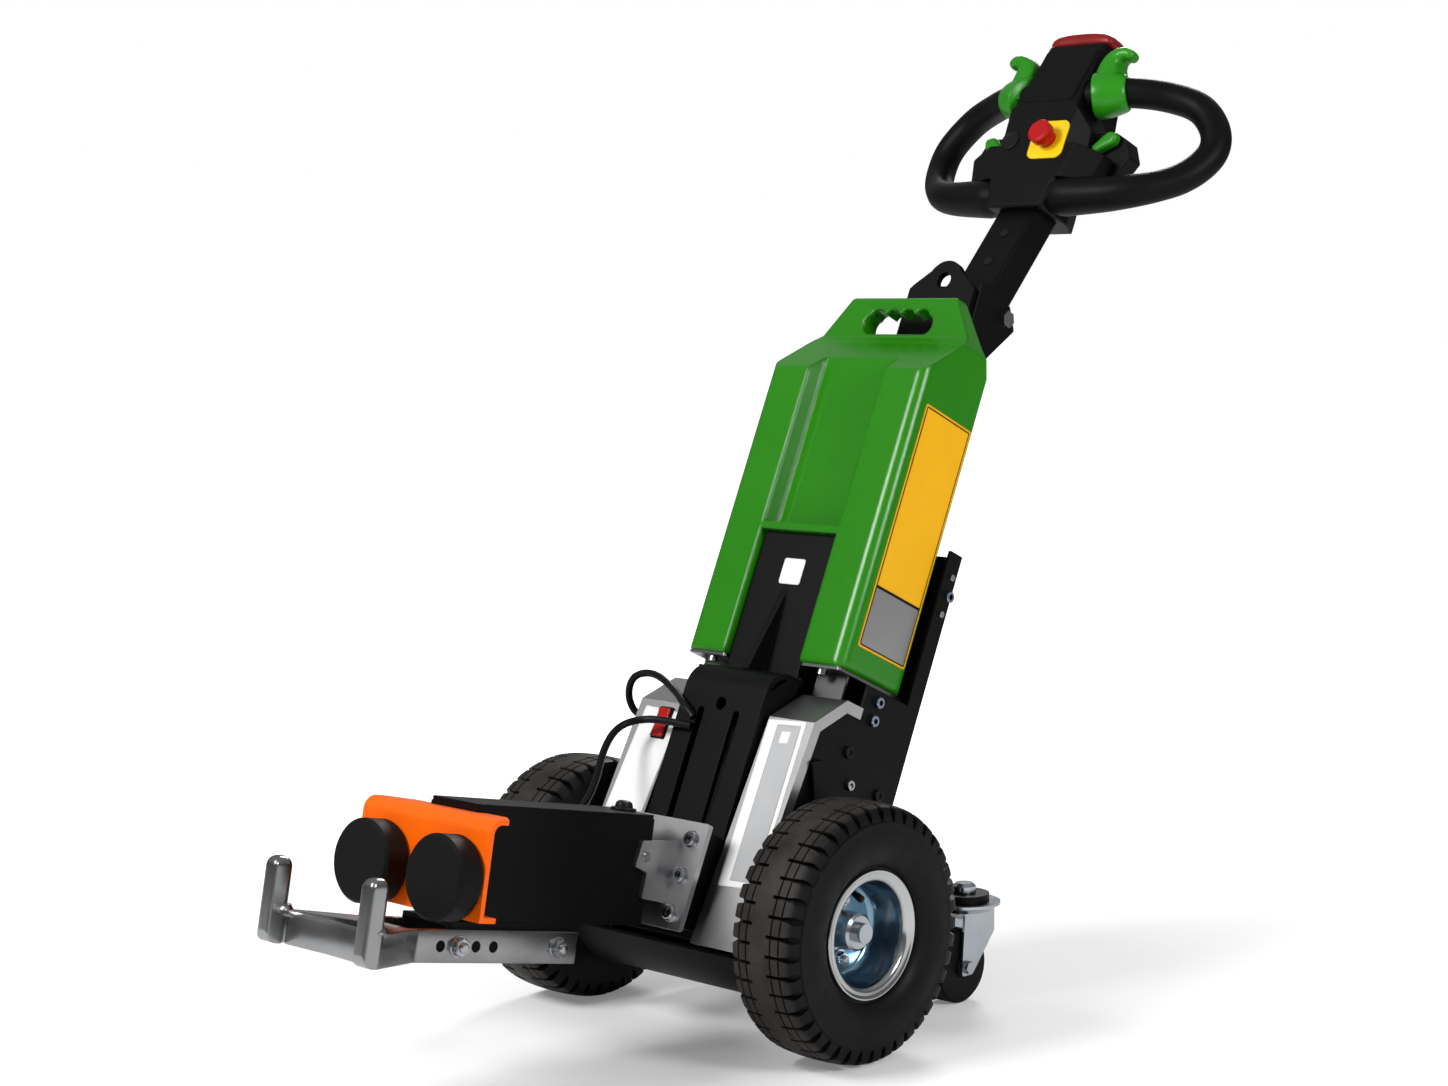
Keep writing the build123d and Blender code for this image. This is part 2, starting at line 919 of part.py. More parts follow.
def handle_loop(side):
    """One closed loop of the handlebar, with the thicker root where it leaves the head."""
    points = [(side * x, y, z) for x, y, z in loop_route]
    path = FilletPolyline(*points, radius=bar_bend_radius)
    start = Plane(origin=path @ 0, z_dir=path % 0)
    bar = sweep(start * Circle(bar_diameter / 2), path=path)
    bend = Vector(*points[-2])
    run = Vector(*points[-1]) - bend
    first = bend + run * 0.2
    root = Cone(
        bar_diameter / 2 - 0.5,
        bar_root_diameter / 2,
        run.length * 0.8,
        align=(Align.CENTER, Align.CENTER, Align.MIN),
    )
    return head_frame * (bar + Plane(origin=first, z_dir=run) * root)


def head_housing():
    """The moulded tiller head with its wings and shoulders, without the loops that run into it."""
    body = side_block(head_profile, -head_wing_half_width, head_wing_half_width)
    body &= front_block(head_outline, -head_depth, 2 * head_depth)
    body = fillet(body.edges(), head_edge_radius)
    beside = box_between((-head_depth, 0, -head_depth), (head_depth, 2 * head_depth, neck_height))
    body -= beside - plan_block(neck_plan, -head_depth - 1, neck_height + 1, head_edge_radius)
    low = head_profile[0]
    high = head_profile[1]
    face = [low, high, (head_rear_web_back, high[1]), (head_rear_web_back, low[1])]
    behind_face = side_block(face, -head_wing_half_width, head_wing_half_width)
    wing = front_block(wing_outline, -head_depth, head_wing_back, 3)
    wing &= plan_block(wing_plan, -head_depth, head_height)
    wing &= behind_face
    shoulder = front_block(shoulder_outline, -head_depth, head_rear_web_back, 3)
    shoulder &= plan_block(shoulder_plan, -head_depth, head_height)
    shoulder &= behind_face
    web = front_block(rear_web_outline, head_rear_web_front, head_rear_web_back, 4)
    top = head_profile[2]
    badge_side = [
        (high[0] - badge_height, high[1] + badge_height),
        (top[0] - badge_height, top[1] + badge_height),
        (top[0] + badge_height, top[1]),
        (high[0] + badge_height, high[1]),
    ]
    badge = side_block(badge_side, -head_wing_half_width, head_wing_half_width)
    badge &= front_block(badge_outline, -head_depth, head_depth, 5)
    return head_frame * fuse_all([body, wing, shoulder, web, badge])


def head_controls():
    """Emergency stop and its plate on the face, and the belly button on the top."""
    face = head_frame * Pos(0, *head_profile[0]) * Rot(X=-face_lean)
    turn = Rot(X=90)
    size = estop_plate_size
    plate = extrude(RectangleRounded(size, size, size / 5), estop_plate_thickness)
    plate = Pos(estop_across, 0, estop_up) * turn * plate
    collar_length = estop_height - estop_cap_height
    collar = Cylinder(estop_diameter / 2 - 4, collar_length, align=(Align.CENTER, Align.CENTER, Align.MIN))
    cap = Cylinder(estop_diameter / 2, estop_cap_height, align=(Align.CENTER, Align.CENTER, Align.MIN))
    cap = chamfer(cap.edges().sort_by(Axis.Z)[-1], 2)
    button = turn * (collar + Pos(0, 0, collar_length) * cap)
    button = Pos(estop_across, -estop_plate_thickness, estop_up) * button
    top = head_height
    side = [
        (belly_button_front, top),
        (belly_button_front + belly_button_slope, top + belly_button_height - 2),
        (belly_button_back - 10, top + belly_button_height),
        (belly_button_back, top + belly_button_slope),
        (belly_button_back, top),
    ]
    wide = belly_button_half_width
    front = [
        (-wide, top),
        (-wide + 2, top + belly_button_step),
        (-wide + belly_button_side, top + belly_button_height),
        (wide - belly_button_side, top + belly_button_height),
        (wide - 2, top + belly_button_step),
        (wide, top),
    ]
    belly = side_block(side, -wide, wide, 2) & front_block(front, 0, head_depth, 4)
    return {
        "emergency_plate": face * plate,
        "emergency_button": face * button,
        "belly_button": head_frame * belly,
    }


def throttle_paddle(side):
    """One throttle paddle: a tapered drum around the bar and a thumb lever that hooks outward."""
    first = Vector(*paddle_axis[0])
    run = Vector(*paddle_axis[1]) - first
    drum = Cone(
        paddle_drum_diameter / 2,
        paddle_drum_end_diameter / 2,
        run.length,
        align=(Align.CENTER, Align.CENTER, Align.MIN),
    )
    paddle = Plane(origin=first, z_dir=run) * drum
    lever = front_block(paddle_lever, -head_depth, head_depth, 3)
    lever &= side_block(paddle_side, 0, 2 * head_wing_half_width, 4)
    paddle += lever
    if side < 0:
        paddle = mirrored(paddle)
    return head_frame * paddle


def horn_button(side):
    """One wedge-shaped horn button beside the head."""
    button = front_block(horn_outline, head_rear_web_front - horn_depth, head_rear_web_front, 2)
    if side < 0:
        button = mirrored(button)
    return head_frame * button


def hitch_block():
    """The block that carries the hitch mount in front of the column."""
    low = (-block_half_width, -mount_front + mount_thickness, mount_bottom + 6)
    high = (block_half_width, -column_front, mount_top - 6)
    return column_frame * box_between(low, high)


def hitch_mount():
    """The stainless mount plate with the two ears that carry the hitch arm."""
    front = -mount_front
    outline = [
        (-mount_half_width, mount_bottom),
        (mount_half_width, mount_bottom),
        (mount_half_width, mount_top),
        (-mount_half_width, mount_top),
    ]
    plate = front_block(outline, front, front + mount_thickness, 3)
    inner = arm_half_width + ear_gap
    ear = [
        (front, -24),
        (front, 40),
        (-hinge_front - 10, hinge_up + 14),
        (-hinge_front - 10, hinge_up - 13),
        (-hinge_front + 8, hinge_up - 14),
        (-hinge_front + 11, -28),
    ]
    for side in (-1, 1):
        x_low = min(side * inner, side * (inner + ear_thickness))
        plate += side_block(ear, x_low, x_low + ear_thickness, 2.5)
    plate -= rod(hinge_pin_diameter / 2 + pin_clearance, -100, 100, -hinge_front, hinge_up)
    return column_frame * plate


def hinge_pin():
    """The pin that the hitch arm turns on."""
    half = arm_half_width + ear_gap + ear_thickness + pin_end
    pin = rod(hinge_pin_diameter / 2, -half, half)
    return arm_frame * pin


def hitch_arm():
    """The black arm: a box with closed sides, its lid, and the hook carrier below it."""
    low = (-arm_half_width, -arm_front, arm_bottom)
    high = (arm_half_width, arm_back, arm_top)
    box = box_between(low, high)
    inside_low = (-arm_half_width + arm_wall, -arm_front + arm_wall, arm_bottom + arm_wall)
    inside_high = (arm_half_width - arm_wall, arm_back + 1, arm_top + 1)
    box -= box_between(inside_low, inside_high)
    box -= rod(hinge_pin_diameter / 2 + pin_clearance, -100, 100)
    lid = plan_block(
        [
            (-arm_half_width, -arm_front),
            (arm_half_width, -arm_front),
            (arm_half_width, arm_back),
            (-arm_half_width, arm_back),
        ],
        arm_top,
        arm_top + lid_thickness,
        3,
    )
    carrier = box_between(
        (-arm_half_width, -carrier_front(), arm_bottom - carrier_depth),
        (arm_half_width, -carrier_back, arm_bottom),
    )
    carrier -= box_between(
        (-arm_half_width + arm_wall, -carrier_front() - 1, arm_bottom - carrier_depth - 1),
        (arm_half_width - arm_wall, -carrier_back + 1, arm_bottom - arm_wall),
    )
    for y in hook_bolt_places():
        carrier -= rod(hook_bolt_diameter / 2 + pin_clearance, -100, 100, y, bar_middle())
    return {"hitch_arm": arm_frame * box, "hitch_lid": arm_frame * lid, "hook_carrier": arm_frame * carrier}


def carrier_front():
    """How far forward the hook carrier reaches."""
    return hook_hole_first + (hook_hole_count - 1) * hook_hole_pitch - 13


def bar_middle():
    """The height of the hook's holes."""
    return bar_top - bar_height / 2


def hook_bolt_places():
    """Where the two bolts hold the hook: its rear hole and one of its adjusting holes."""
    return (-hook_rear_bolt, -hook_hole_first - 2 * hook_hole_pitch)


def buffer_plate():
    """The orange plate: front face, rounded bend, tapered top flange and bottom flange."""
    t = buffer_plate_thickness
    front = -buffer_plate_front
    top_end = front + top_flange_depth
    profile = [
        (front, buffer_plate_bottom),
        (front, buffer_plate_top),
        (top_end, buffer_plate_top),
        (top_end, buffer_plate_top - t),
        (front + t, buffer_plate_top - t),
        (front + t, buffer_plate_bottom + t),
        (front + bottom_flange_depth, buffer_plate_bottom + t),
        (front + bottom_flange_depth, buffer_plate_bottom),
    ]
    face = make_face(Polyline(*profile, close=True))
    outer = [v for v in face.vertices() if v.X < front + 0.1 and v.Y > 0]
    inner = [v for v in face.vertices() if abs(v.X - front - t) < 0.1 and v.Y > 0]
    face = fillet(outer, buffer_plate_bend)
    inner = [v for v in face.vertices() if abs(v.X - front - t) < 0.1 and v.Y > 0]
    face = fillet(inner, buffer_plate_bend - t)
    plate = extrude(Plane.YZ * face, buffer_plate_half_width, both=True)
    wide = buffer_plate_half_width
    tip = top_flange_tip_half_width
    plan = [
        (-wide, front - 1),
        (wide, front - 1),
        (wide, front + bottom_flange_depth + 1),
        (tip, top_end + 1),
        (-tip, top_end + 1),
        (-wide, front + bottom_flange_depth + 1),
    ]
    plate &= plan_block(plan, buffer_plate_bottom - 1, buffer_plate_top + 1)
    notch = arm_half_width + ear_gap
    notch_low = (-notch, -arm_front, buffer_plate_top - 4 * t)
    plate -= box_between(notch_low, (notch, top_end + 1, buffer_plate_top + 1))
    web = box_between(
        (-arm_half_width, front + t, buffer_plate_bottom + 12),
        (arm_half_width, -arm_front, buffer_plate_top - buffer_plate_bend - 1),
    )
    return {"buffer_plate": arm_frame * plate, "buffer_bracket": arm_frame * web}


def buffers():
    """The two rubber buffers on the plate's front."""
    discs = []
    for side in (-1, 1):
        disc = Rot(X=90) * Cylinder(buffer_diameter / 2, buffer_thickness)
        disc = chamfer(disc.edges().filter_by(GeomType.CIRCLE), buffer_edge)
        y = -buffer_plate_front - buffer_thickness / 2
        discs.append(arm_frame * Pos(side * buffer_spacing / 2, y, buffer_height) * disc)
    return discs


def hook_fork():
    """The galvanised fork: side bars, a flat plate with a skirt, and two upright prongs."""
    bottom = bar_top - bar_height
    inner = arm_half_width + bar_clearance
    outer = inner + bar_thickness
    prong_x = prong_spacing / 2
    reach = prong_front
    total = None
    for side in (-1, 1):
        bar = plan_block(
            [
                (inner, -bar_back),
                (outer, -bar_back),
                (outer, -bar_straight_front),
                (prong_x + prong_width / 2, -reach + prong_thickness),
                (prong_x + prong_width / 2, -reach),
                (prong_x + prong_width / 2 - bar_thickness, -reach),
                (prong_x + prong_width / 2 - bar_thickness, -reach + prong_thickness),
                (inner, -bar_straight_front),
            ],
            bottom,
            bar_top,
        )
        outside = prong_x + prong_width / 2
        plate_low = (outside - prong_plate, -reach, bottom)
        plate_high = (outside, -reach + prong_thickness, prong_top - prong_edge)
        rod_across = outside - prong_plate - prong_thickness / 2 + prong_overlap
        rod_back = -reach + prong_thickness / 2
        prong = upright(prong_thickness / 2, bottom, prong_top, rod_across, rod_back)
        prong = chamfer(prong.edges().sort_by(Axis.Z)[-1], prong_edge)
        prong += box_between(plate_low, plate_high)
        side_view = [
            (-reach, bottom),
            (-bar_back, bottom),
            (-bar_back, prong_top),
            (-reach, prong_top),
        ]
        side_face = make_face(Polyline(*side_view, close=True))
        low_front = [v for v in side_face.vertices() if v.Y < bar_top and v.X < -prong_front + 1]
        side_face = fillet(low_front, prong_corner)
        piece = (bar + prong) & extrude(Plane.YZ * side_face, outside)
        if side < 0:
            piece = mirrored(piece)
        total = piece if total is None else total + piece
    plate = plan_block(
        [
            (-outer, -fork_plate_back),
            (outer, -fork_plate_back),
            (prong_x + prong_width / 2, -reach + prong_thickness),
            (prong_x + prong_width / 2, -reach + 2),
            (prong_x - prong_width / 2, -reach + 2),
            (prong_x - prong_width / 2 - fork_web_step, -reach + fork_web_back),
            (-prong_x + prong_width / 2 + fork_web_step, -reach + fork_web_back),
            (-prong_x + prong_width / 2, -reach + 2),
            (-prong_x - prong_width / 2, -reach + 2),
            (-prong_x - prong_width / 2, -reach + prong_thickness),
        ],
        bar_top - bar_thickness,
        bar_top,
    )
    total += plate
    skirt_wide = prong_x - prong_width / 2 - skirt_gap
    skirt_front = -reach + fork_web_back - 2
    skirt_low = (-skirt_wide, skirt_front, bottom)
    total += box_between(skirt_low, (skirt_wide, skirt_front + skirt_thickness, bar_top))
    holes = [-hook_rear_bolt]
    for i in range(hook_hole_count):
        holes.append(-hook_hole_first - i * hook_hole_pitch)
    for y in holes:
        total -= rod(hook_hole_diameter / 2, -100, 100, y, bar_middle())
    return arm_frame * total


def hook_bolts():
    """The two bolts through fork and carrier."""
    half = arm_half_width + bar_clearance + bar_thickness
    bolts = []
    for y in hook_bolt_places():
        bolts.append(arm_frame * Pos(0, y, bar_middle()) * hex_bolt(hook_bolt_diameter / 2, half, 9, 6))
    return bolts


def caster_beam():
    """The plate behind the body that the two casters bolt to, with its upright flange."""
    half = caster_spacing / 2
    low = caster_height + beam_gap
    high = low + beam_thickness
    radius = beam_end_radius
    beam = box_between((-half, caster_back - radius, low), (half, caster_back + radius, high))
    front = side_plate_back
    rib_half = beam_rib_thickness / 2
    for side in (-1, 1):
        end = Cylinder(radius, beam_thickness)
        beam += Pos(side * half, caster_back, (low + high) / 2) * end
        x_low = min(side * beam_arm_inner, side * (beam_arm_inner + beam_arm_width))
        beam += box_between((x_low, front, low), (x_low + beam_arm_width, caster_back, high))
        rib = [
            (front, high - 1),
            (front, high + beam_rib_height),
            (front + beam_rib_thickness, high + beam_rib_height),
            (caster_back - beam_rib_back, high - 1),
        ]
        rib_place = side * (beam_arm_inner + beam_arm_width / 2)
        beam += side_block(rib, rib_place - rib_half, rib_place + rib_half)
    for side in (-1, 1):
        hole = Cylinder(caster_stem_diameter / 2 + pin_clearance, 6 * beam_thickness)
        beam -= Pos(side * half, caster_back, low) * hole
    rear = back_panel_front + panel_thickness
    size = body_half_width
    beam -= column_frame * box_between((-size, -size, -size), (size, rear, side_plate_top))
    wide = body_half_width - sheet_thickness - plate_thickness - seat_gap
    foot_top = mast_bottom - cheek_thickness
    foot = box_between((-wide, rear, beam_foot_bottom), (wide, rear + beam_foot_thickness, foot_top))
    return beam + column_frame * foot


def caster(side):
    """One swivel caster: fork with race ring and stem, axle and wheel."""
    x = side * caster_spacing / 2
    top = caster_height
    wide = caster_ring_diameter / 2
    race = [
        (0, 0),
        (0, -caster_ring_height),
        (wide - 12, -caster_ring_height),
        (wide - 9, -caster_ring_height + 4),
        (wide, -3),
        (wide, 0),
    ]
    ring = revolve(Rot(X=90) * make_face(Polyline(*race, close=True)), Axis.Z)
    ring = Pos(0, 0, top) * ring
    stem = Pos(0, 0, top) * Cylinder(
        caster_stem_diameter / 2, beam_thickness + 3, align=(Align.CENTER, Align.CENTER, Align.MIN)
    )
    cap = upright(caster_cap_diameter / 2, 0, caster_cap_height)
    cap = chamfer(cap.edges().sort_by(Axis.Z)[-1], caster_cap_height / 3)
    cap = Pos(0, 0, top + beam_thickness + 1) * cap
    fork = ring + stem + cap
    inside = caster_wheel_width / 2 + fork_side_gap
    under = top - caster_ring_height + 1
    axle_z = caster_wheel_diameter / 2
    leg = [
        (-caster_trail - fork_tip, axle_z - fork_tip),
        (-caster_trail + fork_tip, axle_z - fork_tip),
        (fork_back, under - fork_back + 1),
        (fork_back, under),
        (-fork_front, under),
    ]
    for end in (-1, 1):
        x_low = min(end * inside, end * (inside + caster_leg_thickness))
        fork += side_block(leg, x_low, x_low + caster_leg_thickness, 4)
    bridge_half = inside + caster_leg_thickness
    bridge_low = (-bridge_half, -fork_front, under - fork_bridge_thickness)
    fork += box_between(bridge_low, (bridge_half, fork_back, under))
    fork -= rod(caster_axle_diameter / 2 + pin_clearance, -60, 60, -caster_trail, axle_z)
    axle = Pos(0, -caster_trail, axle_z) * hex_bolt(caster_axle_diameter / 2, bridge_half, 7, 5)
    tread = rod(caster_wheel_diameter / 2, -caster_wheel_width / 2, caster_wheel_width / 2)
    tread = chamfer(tread.edges().filter_by(GeomType.CIRCLE), 3)
    tread += rod(12, -inside + 0.5, inside - 0.5)
    tread -= rod(caster_axle_diameter / 2 + pin_clearance, -60, 60)
    place = Pos(x, caster_back, 0)
    return {
        "fork": place * fork,
        "axle": place * axle,
        "wheel": place * Pos(0, -caster_trail, axle_z) * tread,
    }


def cable_gland():
    """The nut on the side plate that the switch cable leaves through."""
    plate_face = body_half_width - sheet_thickness
    end = body_half_width + gland_length
    body = rod(gland_diameter / 2, -end, -plate_face, gland_back, gland_up)
    return column_frame * body


def cable(route):
    """One visible stretch of cable: straight runs and bends along points chosen by hand."""
    points = [(column_frame * Pos(*point)).position for point in route]
    path = FilletPolyline(*points, radius=cable_bend_radius)
    start = Plane(origin=path @ 0, z_dir=path % 0)
    return sweep(start * Circle(cable_diameter / 2), path=path)


def build():
    """All nodes of the machine, standing on the floor with the axle over the origin."""
    nodes = {}
    for side, name in ((1, "left"), (-1, "right")):
        pieces = wheel(side)
        nodes["tyre_" + name] = pieces["tyre"]
        nodes["rim_" + name] = pieces["rim"]
        nodes["wheel_hub_" + name] = pieces["hub"]
        nodes["side_plate_" + name] = side_plate(side)
        nodes["axle_carrier_" + name] = axle_carrier(side)
        swivel = caster(side)
        nodes["caster_fork_" + name] = swivel["fork"]
        nodes["caster_axle_" + name] = swivel["axle"]
        nodes["caster_wheel_" + name] = swivel["wheel"]
        nodes["handle_loop_" + name] = handle_loop(side)
    loops = [nodes["handle_loop_left"], nodes["handle_loop_right"]]
    nodes["body_cover"] = Compound(body_cover())
    nodes["front_column"] = column()
    nodes["belly_pan"] = belly_pan()
    nodes["drive_unit"] = drive_unit()
    nodes["power_switch"] = power_switch()
    nodes["back_panel"] = back_panel()
    nodes["mast"] = mast()
    nodes["lifting_eye"] = lifting_eye()
    nodes["battery_tray"] = battery_tray()
    nodes["battery_case"] = battery_case()
    nodes["tiller_pin"] = tiller_pin()
    tube, tube_space = tiller_tube()
    head = head_housing()
    for loop in loops:
        head -= loop
    head -= tube_space
    nodes["tiller_tube"] = tube
    nodes["head_housing"] = head
    nodes.update(head_controls())
    paddles = [throttle_paddle(side) - loops[0] - loops[1] - head for side in (1, -1)]
    nodes["throttle_paddles"] = Compound(paddles)
    nodes["horn_buttons"] = Compound([horn_button(side) - head for side in (1, -1)])
    nodes["hitch_block"] = hitch_block()
    nodes["hitch_mount"] = hitch_mount()
    nodes["hinge_pin"] = hinge_pin()
    nodes.update(hitch_arm())
    nodes.update(buffer_plate())
    nodes["buffers"] = Compound(buffers())
    nodes["hook_fork"] = hook_fork()
    nodes["hook_bolts"] = Compound(hook_bolts())
    nodes["caster_beam"] = caster_beam()
    nodes["cable_gland"] = cable_gland()
    for name, route in cable_routes.items():
        nodes[name] = cable(route)
    return nodes


def main():
    os.makedirs("parts", exist_ok=True)
    nodes = build()
    whole = Compound(list(nodes.values())).bounding_box()
    shift = Pos(0, -(whole.min.Y + whole.max.Y) / 2, -whole.min.Z)
    for name, shape in nodes.items():
        export_step(shift * shape, f"parts/{name}.step")
    print("frame shift", round(shift.position.Y, 3), round(shift.position.Z, 3))


if __name__ == "__main__":
    main()
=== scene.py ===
import bpy
import bmesh
import json
import math
from mathutils import Matrix, Vector


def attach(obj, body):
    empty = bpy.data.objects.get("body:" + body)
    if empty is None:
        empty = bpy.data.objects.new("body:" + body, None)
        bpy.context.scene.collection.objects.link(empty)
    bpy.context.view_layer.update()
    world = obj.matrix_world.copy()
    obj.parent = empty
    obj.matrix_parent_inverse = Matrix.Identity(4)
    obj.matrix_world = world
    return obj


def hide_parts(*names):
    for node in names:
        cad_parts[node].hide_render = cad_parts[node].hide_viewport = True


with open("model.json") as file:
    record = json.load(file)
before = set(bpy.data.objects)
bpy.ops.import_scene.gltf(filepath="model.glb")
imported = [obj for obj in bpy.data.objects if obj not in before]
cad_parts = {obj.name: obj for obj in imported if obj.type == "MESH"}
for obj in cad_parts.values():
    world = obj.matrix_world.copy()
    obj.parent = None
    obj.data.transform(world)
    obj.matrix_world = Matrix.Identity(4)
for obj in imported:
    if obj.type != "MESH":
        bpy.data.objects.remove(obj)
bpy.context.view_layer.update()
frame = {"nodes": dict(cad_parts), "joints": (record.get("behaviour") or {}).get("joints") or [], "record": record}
joints = {joint["name"]: joint for joint in frame["joints"]}

# Places are in millimetres, in frames that lean with the machine's parts and start at its joints
MM = 0.001
axle = Vector(joints["wheel_spin_left"]["pos_m"])

# Leans in degrees: the tiller's comes on top of the column's, and the face's on top of the head's
COLUMN_LEAN = 24.0
TILLER_LEAN = 18.5
HEAD_LEAN = 21.0
FACE_LEAN = 6.25
ARM_TILT = 10.5

# Where the head starts in the tiller's frame, and its face in the head's
HEAD_START = (0, -8.8, 173.7)
FACE_START = (0, -30, -17)


def leaning(origin, degrees):
    """A frame in millimetres at a place in metres, leaning back by some degrees."""
    turn = Matrix.Rotation(math.radians(-degrees), 4, "X")
    return Matrix.Translation(origin) @ turn @ Matrix.Scale(MM, 4)


WORLD = leaning((0, axle.y, 0), 0)
COLUMN = leaning((0, axle.y, axle.z), COLUMN_LEAN)
ARM = leaning(joints["hitch_tilt"]["pos_m"], ARM_TILT)
TILLER = leaning(joints["tiller_tilt"]["pos_m"], COLUMN_LEAN + TILLER_LEAN)
HEAD = leaning(TILLER @ Vector(HEAD_START), HEAD_LEAN)
FACE = leaning(HEAD @ Vector(FACE_START), HEAD_LEAN + FACE_LEAN)

# Camera: its place in the world frame, its turns in degrees and its lens in millimetres
CAMERA_PLACE = (1894.6, -1949.1, 743.9)
CAMERA_AZIMUTH = 43.86
CAMERA_DOWN = 5.08
CAMERA_LENS = 66.16

# Lamps in metres: name, place, watts and size, and the place that they aim at
LAMPS = [
    ("key_lamp", (-0.8, -2.6, 2.4), 88.0, 1.1),
    ("side_lamp", (2.8, -0.2, 1.7), 42.0, 0.8),
    ("back_lamp", (-1.4, 2.6, 2.4), 54.0, 1.1),
]
LAMP_AIM = (0, 0, 0.5)
WORLD_LIGHT = 0.36
WORLD_BACKDROP = 1.0
FLOOR_REACH = 40.0

# Sizes that repeat the part's own
TRACK = 380.0
BODY_HALF_WIDTH = 124.0
CASE_HALF_WIDTH = 111.0
COVER_FOOT = -54
COVER_FRONT = -76
COVER_RISE = 244
COVER_RUN = 19
COVER_NARROWING = 0.052
FILM_BEVEL = 0.4
CABLE_DIAMETER = 8.0
SWITCH_CABLE = [
    (-133.7, -36, 175),
    (-148, -36, 175),
    (-151, -54, 192),
    (-140, -64, 213),
    (-112, -60, 219),
    (-66, -67, 199),
    (-41, -79, 186),
    (-25, -74.5, 173.5),
]
ARM_CABLE = [
    (-25, -73, 164.5),
    (-62, -77, 165.5),
    (-90, -83, 162),
    (-103, -100, 147),
    (-92, -121, 117),
    (-70, -138, 76),
    (-54, -163, 41),
    (-48, -189, 17),
    (-34.5, -189, 17),
]

# One handlebar loop, as (across, back, up) points in the head frame
LOOP_ROUTE = [
    (36, 10, 135),
    (84, 25, 144),
    (128, 47, 145),
    (165, 59, 133),
    (191, 60, 102),
    (193, 54, 70),
    (171, 34, 36),
    (121, 3, 10),
    (36, -7, 3),
]
BAR_RADIUS = 17.5
BAR_ROOT_RADIUS = 23.0
BAR_SWELL_START = 30.0
BAR_SWELL_FULL = 52.0
BAR_SWELL_END = 160.0
BAR_SWELL_TOP = 70.0

# Half of the tyre's section from the crown outward: across and radius, then the same where a slot
# is cut, and how far the slot is wider there, as a share of the pitch
TYRE_SECTION = [
    (0.0, 130.0, 0.0, 130.0, 0),
    (9.6, 129.8, 9.6, 129.8, 0),
    (9.9, 129.7, 9.9, 123.4, 0),
    (14.6, 129.6, 14.6, 123.2, 0),
    (14.9, 126.6, 14.9, 123.2, 0),
    (16.3, 126.6, 16.3, 123.1, 0),
    (16.6, 129.5, 16.6, 123.1, 0),
    (24.8, 128.9, 24.8, 122.4, 0),
    (25.1, 126.0, 25.1, 122.4, 0),
    (26.5, 126.0, 26.5, 122.2, 0.005),
    (26.8, 128.7, 26.8, 122.2, 0.01),
    (32.2, 127.9, 31.0, 120.6, 0.05),
    (35.6, 126.2, 33.2, 118.8, 0.09),
    (38.2, 121.4, 35.2, 116.6, 0.11),
    (39.4, 115.6, 38.0, 114.2, 0.06),
    (39.8, 112.6, 39.8, 112.6, 0),
    (40.9, 112.2, 40.9, 112.2, 0),
    (41.1, 111.0, 41.1, 111.0, 0),
    (41.0, 109.8, 41.0, 109.8, 0),
    (42.0, 103.0, 42.0, 103.0, 0),
    (42.5, 95.0, 42.5, 95.0, 0),
    (42.0, 87.0, 42.0, 87.0, 0),
    (40.2, 79.0, 40.2, 79.0, 0),
    (37.0, 72.4, 37.0, 72.4, 0),
    (33.6, 68.6, 33.6, 68.6, 0),
    (31.0, 67.4, 31.0, 67.4, 0),
    (30.8, 54.4, 30.8, 54.4, 0),
]
# Places round one pitch, the side that is slotted there, whether it is cut, and which wall it is
TREAD_COLUMNS = [
    (0.335, -1, 0, -1),
    (0.350, -1, 1, -1),
    (0.500, -1, 1, 1),
    (0.515, -1, 0, 1),
    (0.835, 1, 0, -1),
    (0.850, 1, 1, -1),
    (1.000, 1, 1, 1),
    (1.015, 1, 0, 1),
]
TREAD_PITCHES = 42
TREAD_TURN = 0.03

# The rim, its studs and the paddles' drums, as (radius, height) profiles
RIM_PROFILE = [
    (54, -29),
    (56, -31),
    (62, -32),
    (64.5, -33),
    (64, -34),
    (60, -34.2),
    (55, -33),
    (52, -31),
    (51, -27),
    (51, -13),
    (19, -13),
    (19, -10),
    (41.5, -10),
    (44.5, -9.2),
    (47.2, -7),
    (49.2, -3.6),
    (50.4, 0.8),
    (51, 6),
    (51, 20),
    (51.3, 25),
    (52.3, 29),
    (54.2, 31.6),
    (56.8, 32.6),
    (59.4, 32.6),
    (61.2, 33.2),
    (62.6, 34.1),
    (63.9, 34.0),
    (64.6, 33.0),
    (64.2, 31.9),
    (62, 31.2),
    (56, 30.6),
    (54.4, 29.6),
    (54, 27),
]
STUD_WASHER = [(0, 0), (9.5, 0), (9.5, 1.2), (9, 1.6), (0, 1.6)]
STUD_NUT = [(0, 1.6), (7.6, 1.6), (7.6, 6.6), (7.0, 7.4), (0, 7.4)]
STUD_END = [(0, 7), (3.8, 7), (3.8, 10.4), (3.2, 11), (0, 11)]
PADDLE_DRUM = [
    (0, 0),
    (25.4, 0),
    (26.6, 0.8),
    (27.2, 2.4),
    (27.2, 9),
    (26.4, 18),
    (24.6, 27),
    (22.6, 34),
    (21.6, 37),
    (20.2, 38.6),
    (0, 39.4),
]
PADDLE_START = (48, 11, 135)
PADDLE_END = (84, 25, 144)

# The thumb lever: place, then half sizes back and square to the way
PADDLE_LEVER = [
    (62.0, 18.0, 132.0, 24.0, 17.5),
    (61.0, 18.0, 148.0, 23.0, 17.0),
    (60.0, 18.0, 163.0, 20.5, 15.0),
    (61.5, 17.0, 176.0, 17.0, 12.5),
    (68.0, 16.0, 184.5, 14.0, 9.5),
    (77.5, 15.0, 187.0, 12.0, 7.5),
    (85.0, 15.0, 184.0, 10.0, 6.0),
    (88.0, 15.0, 182.0, 6.0, 3.4),
]

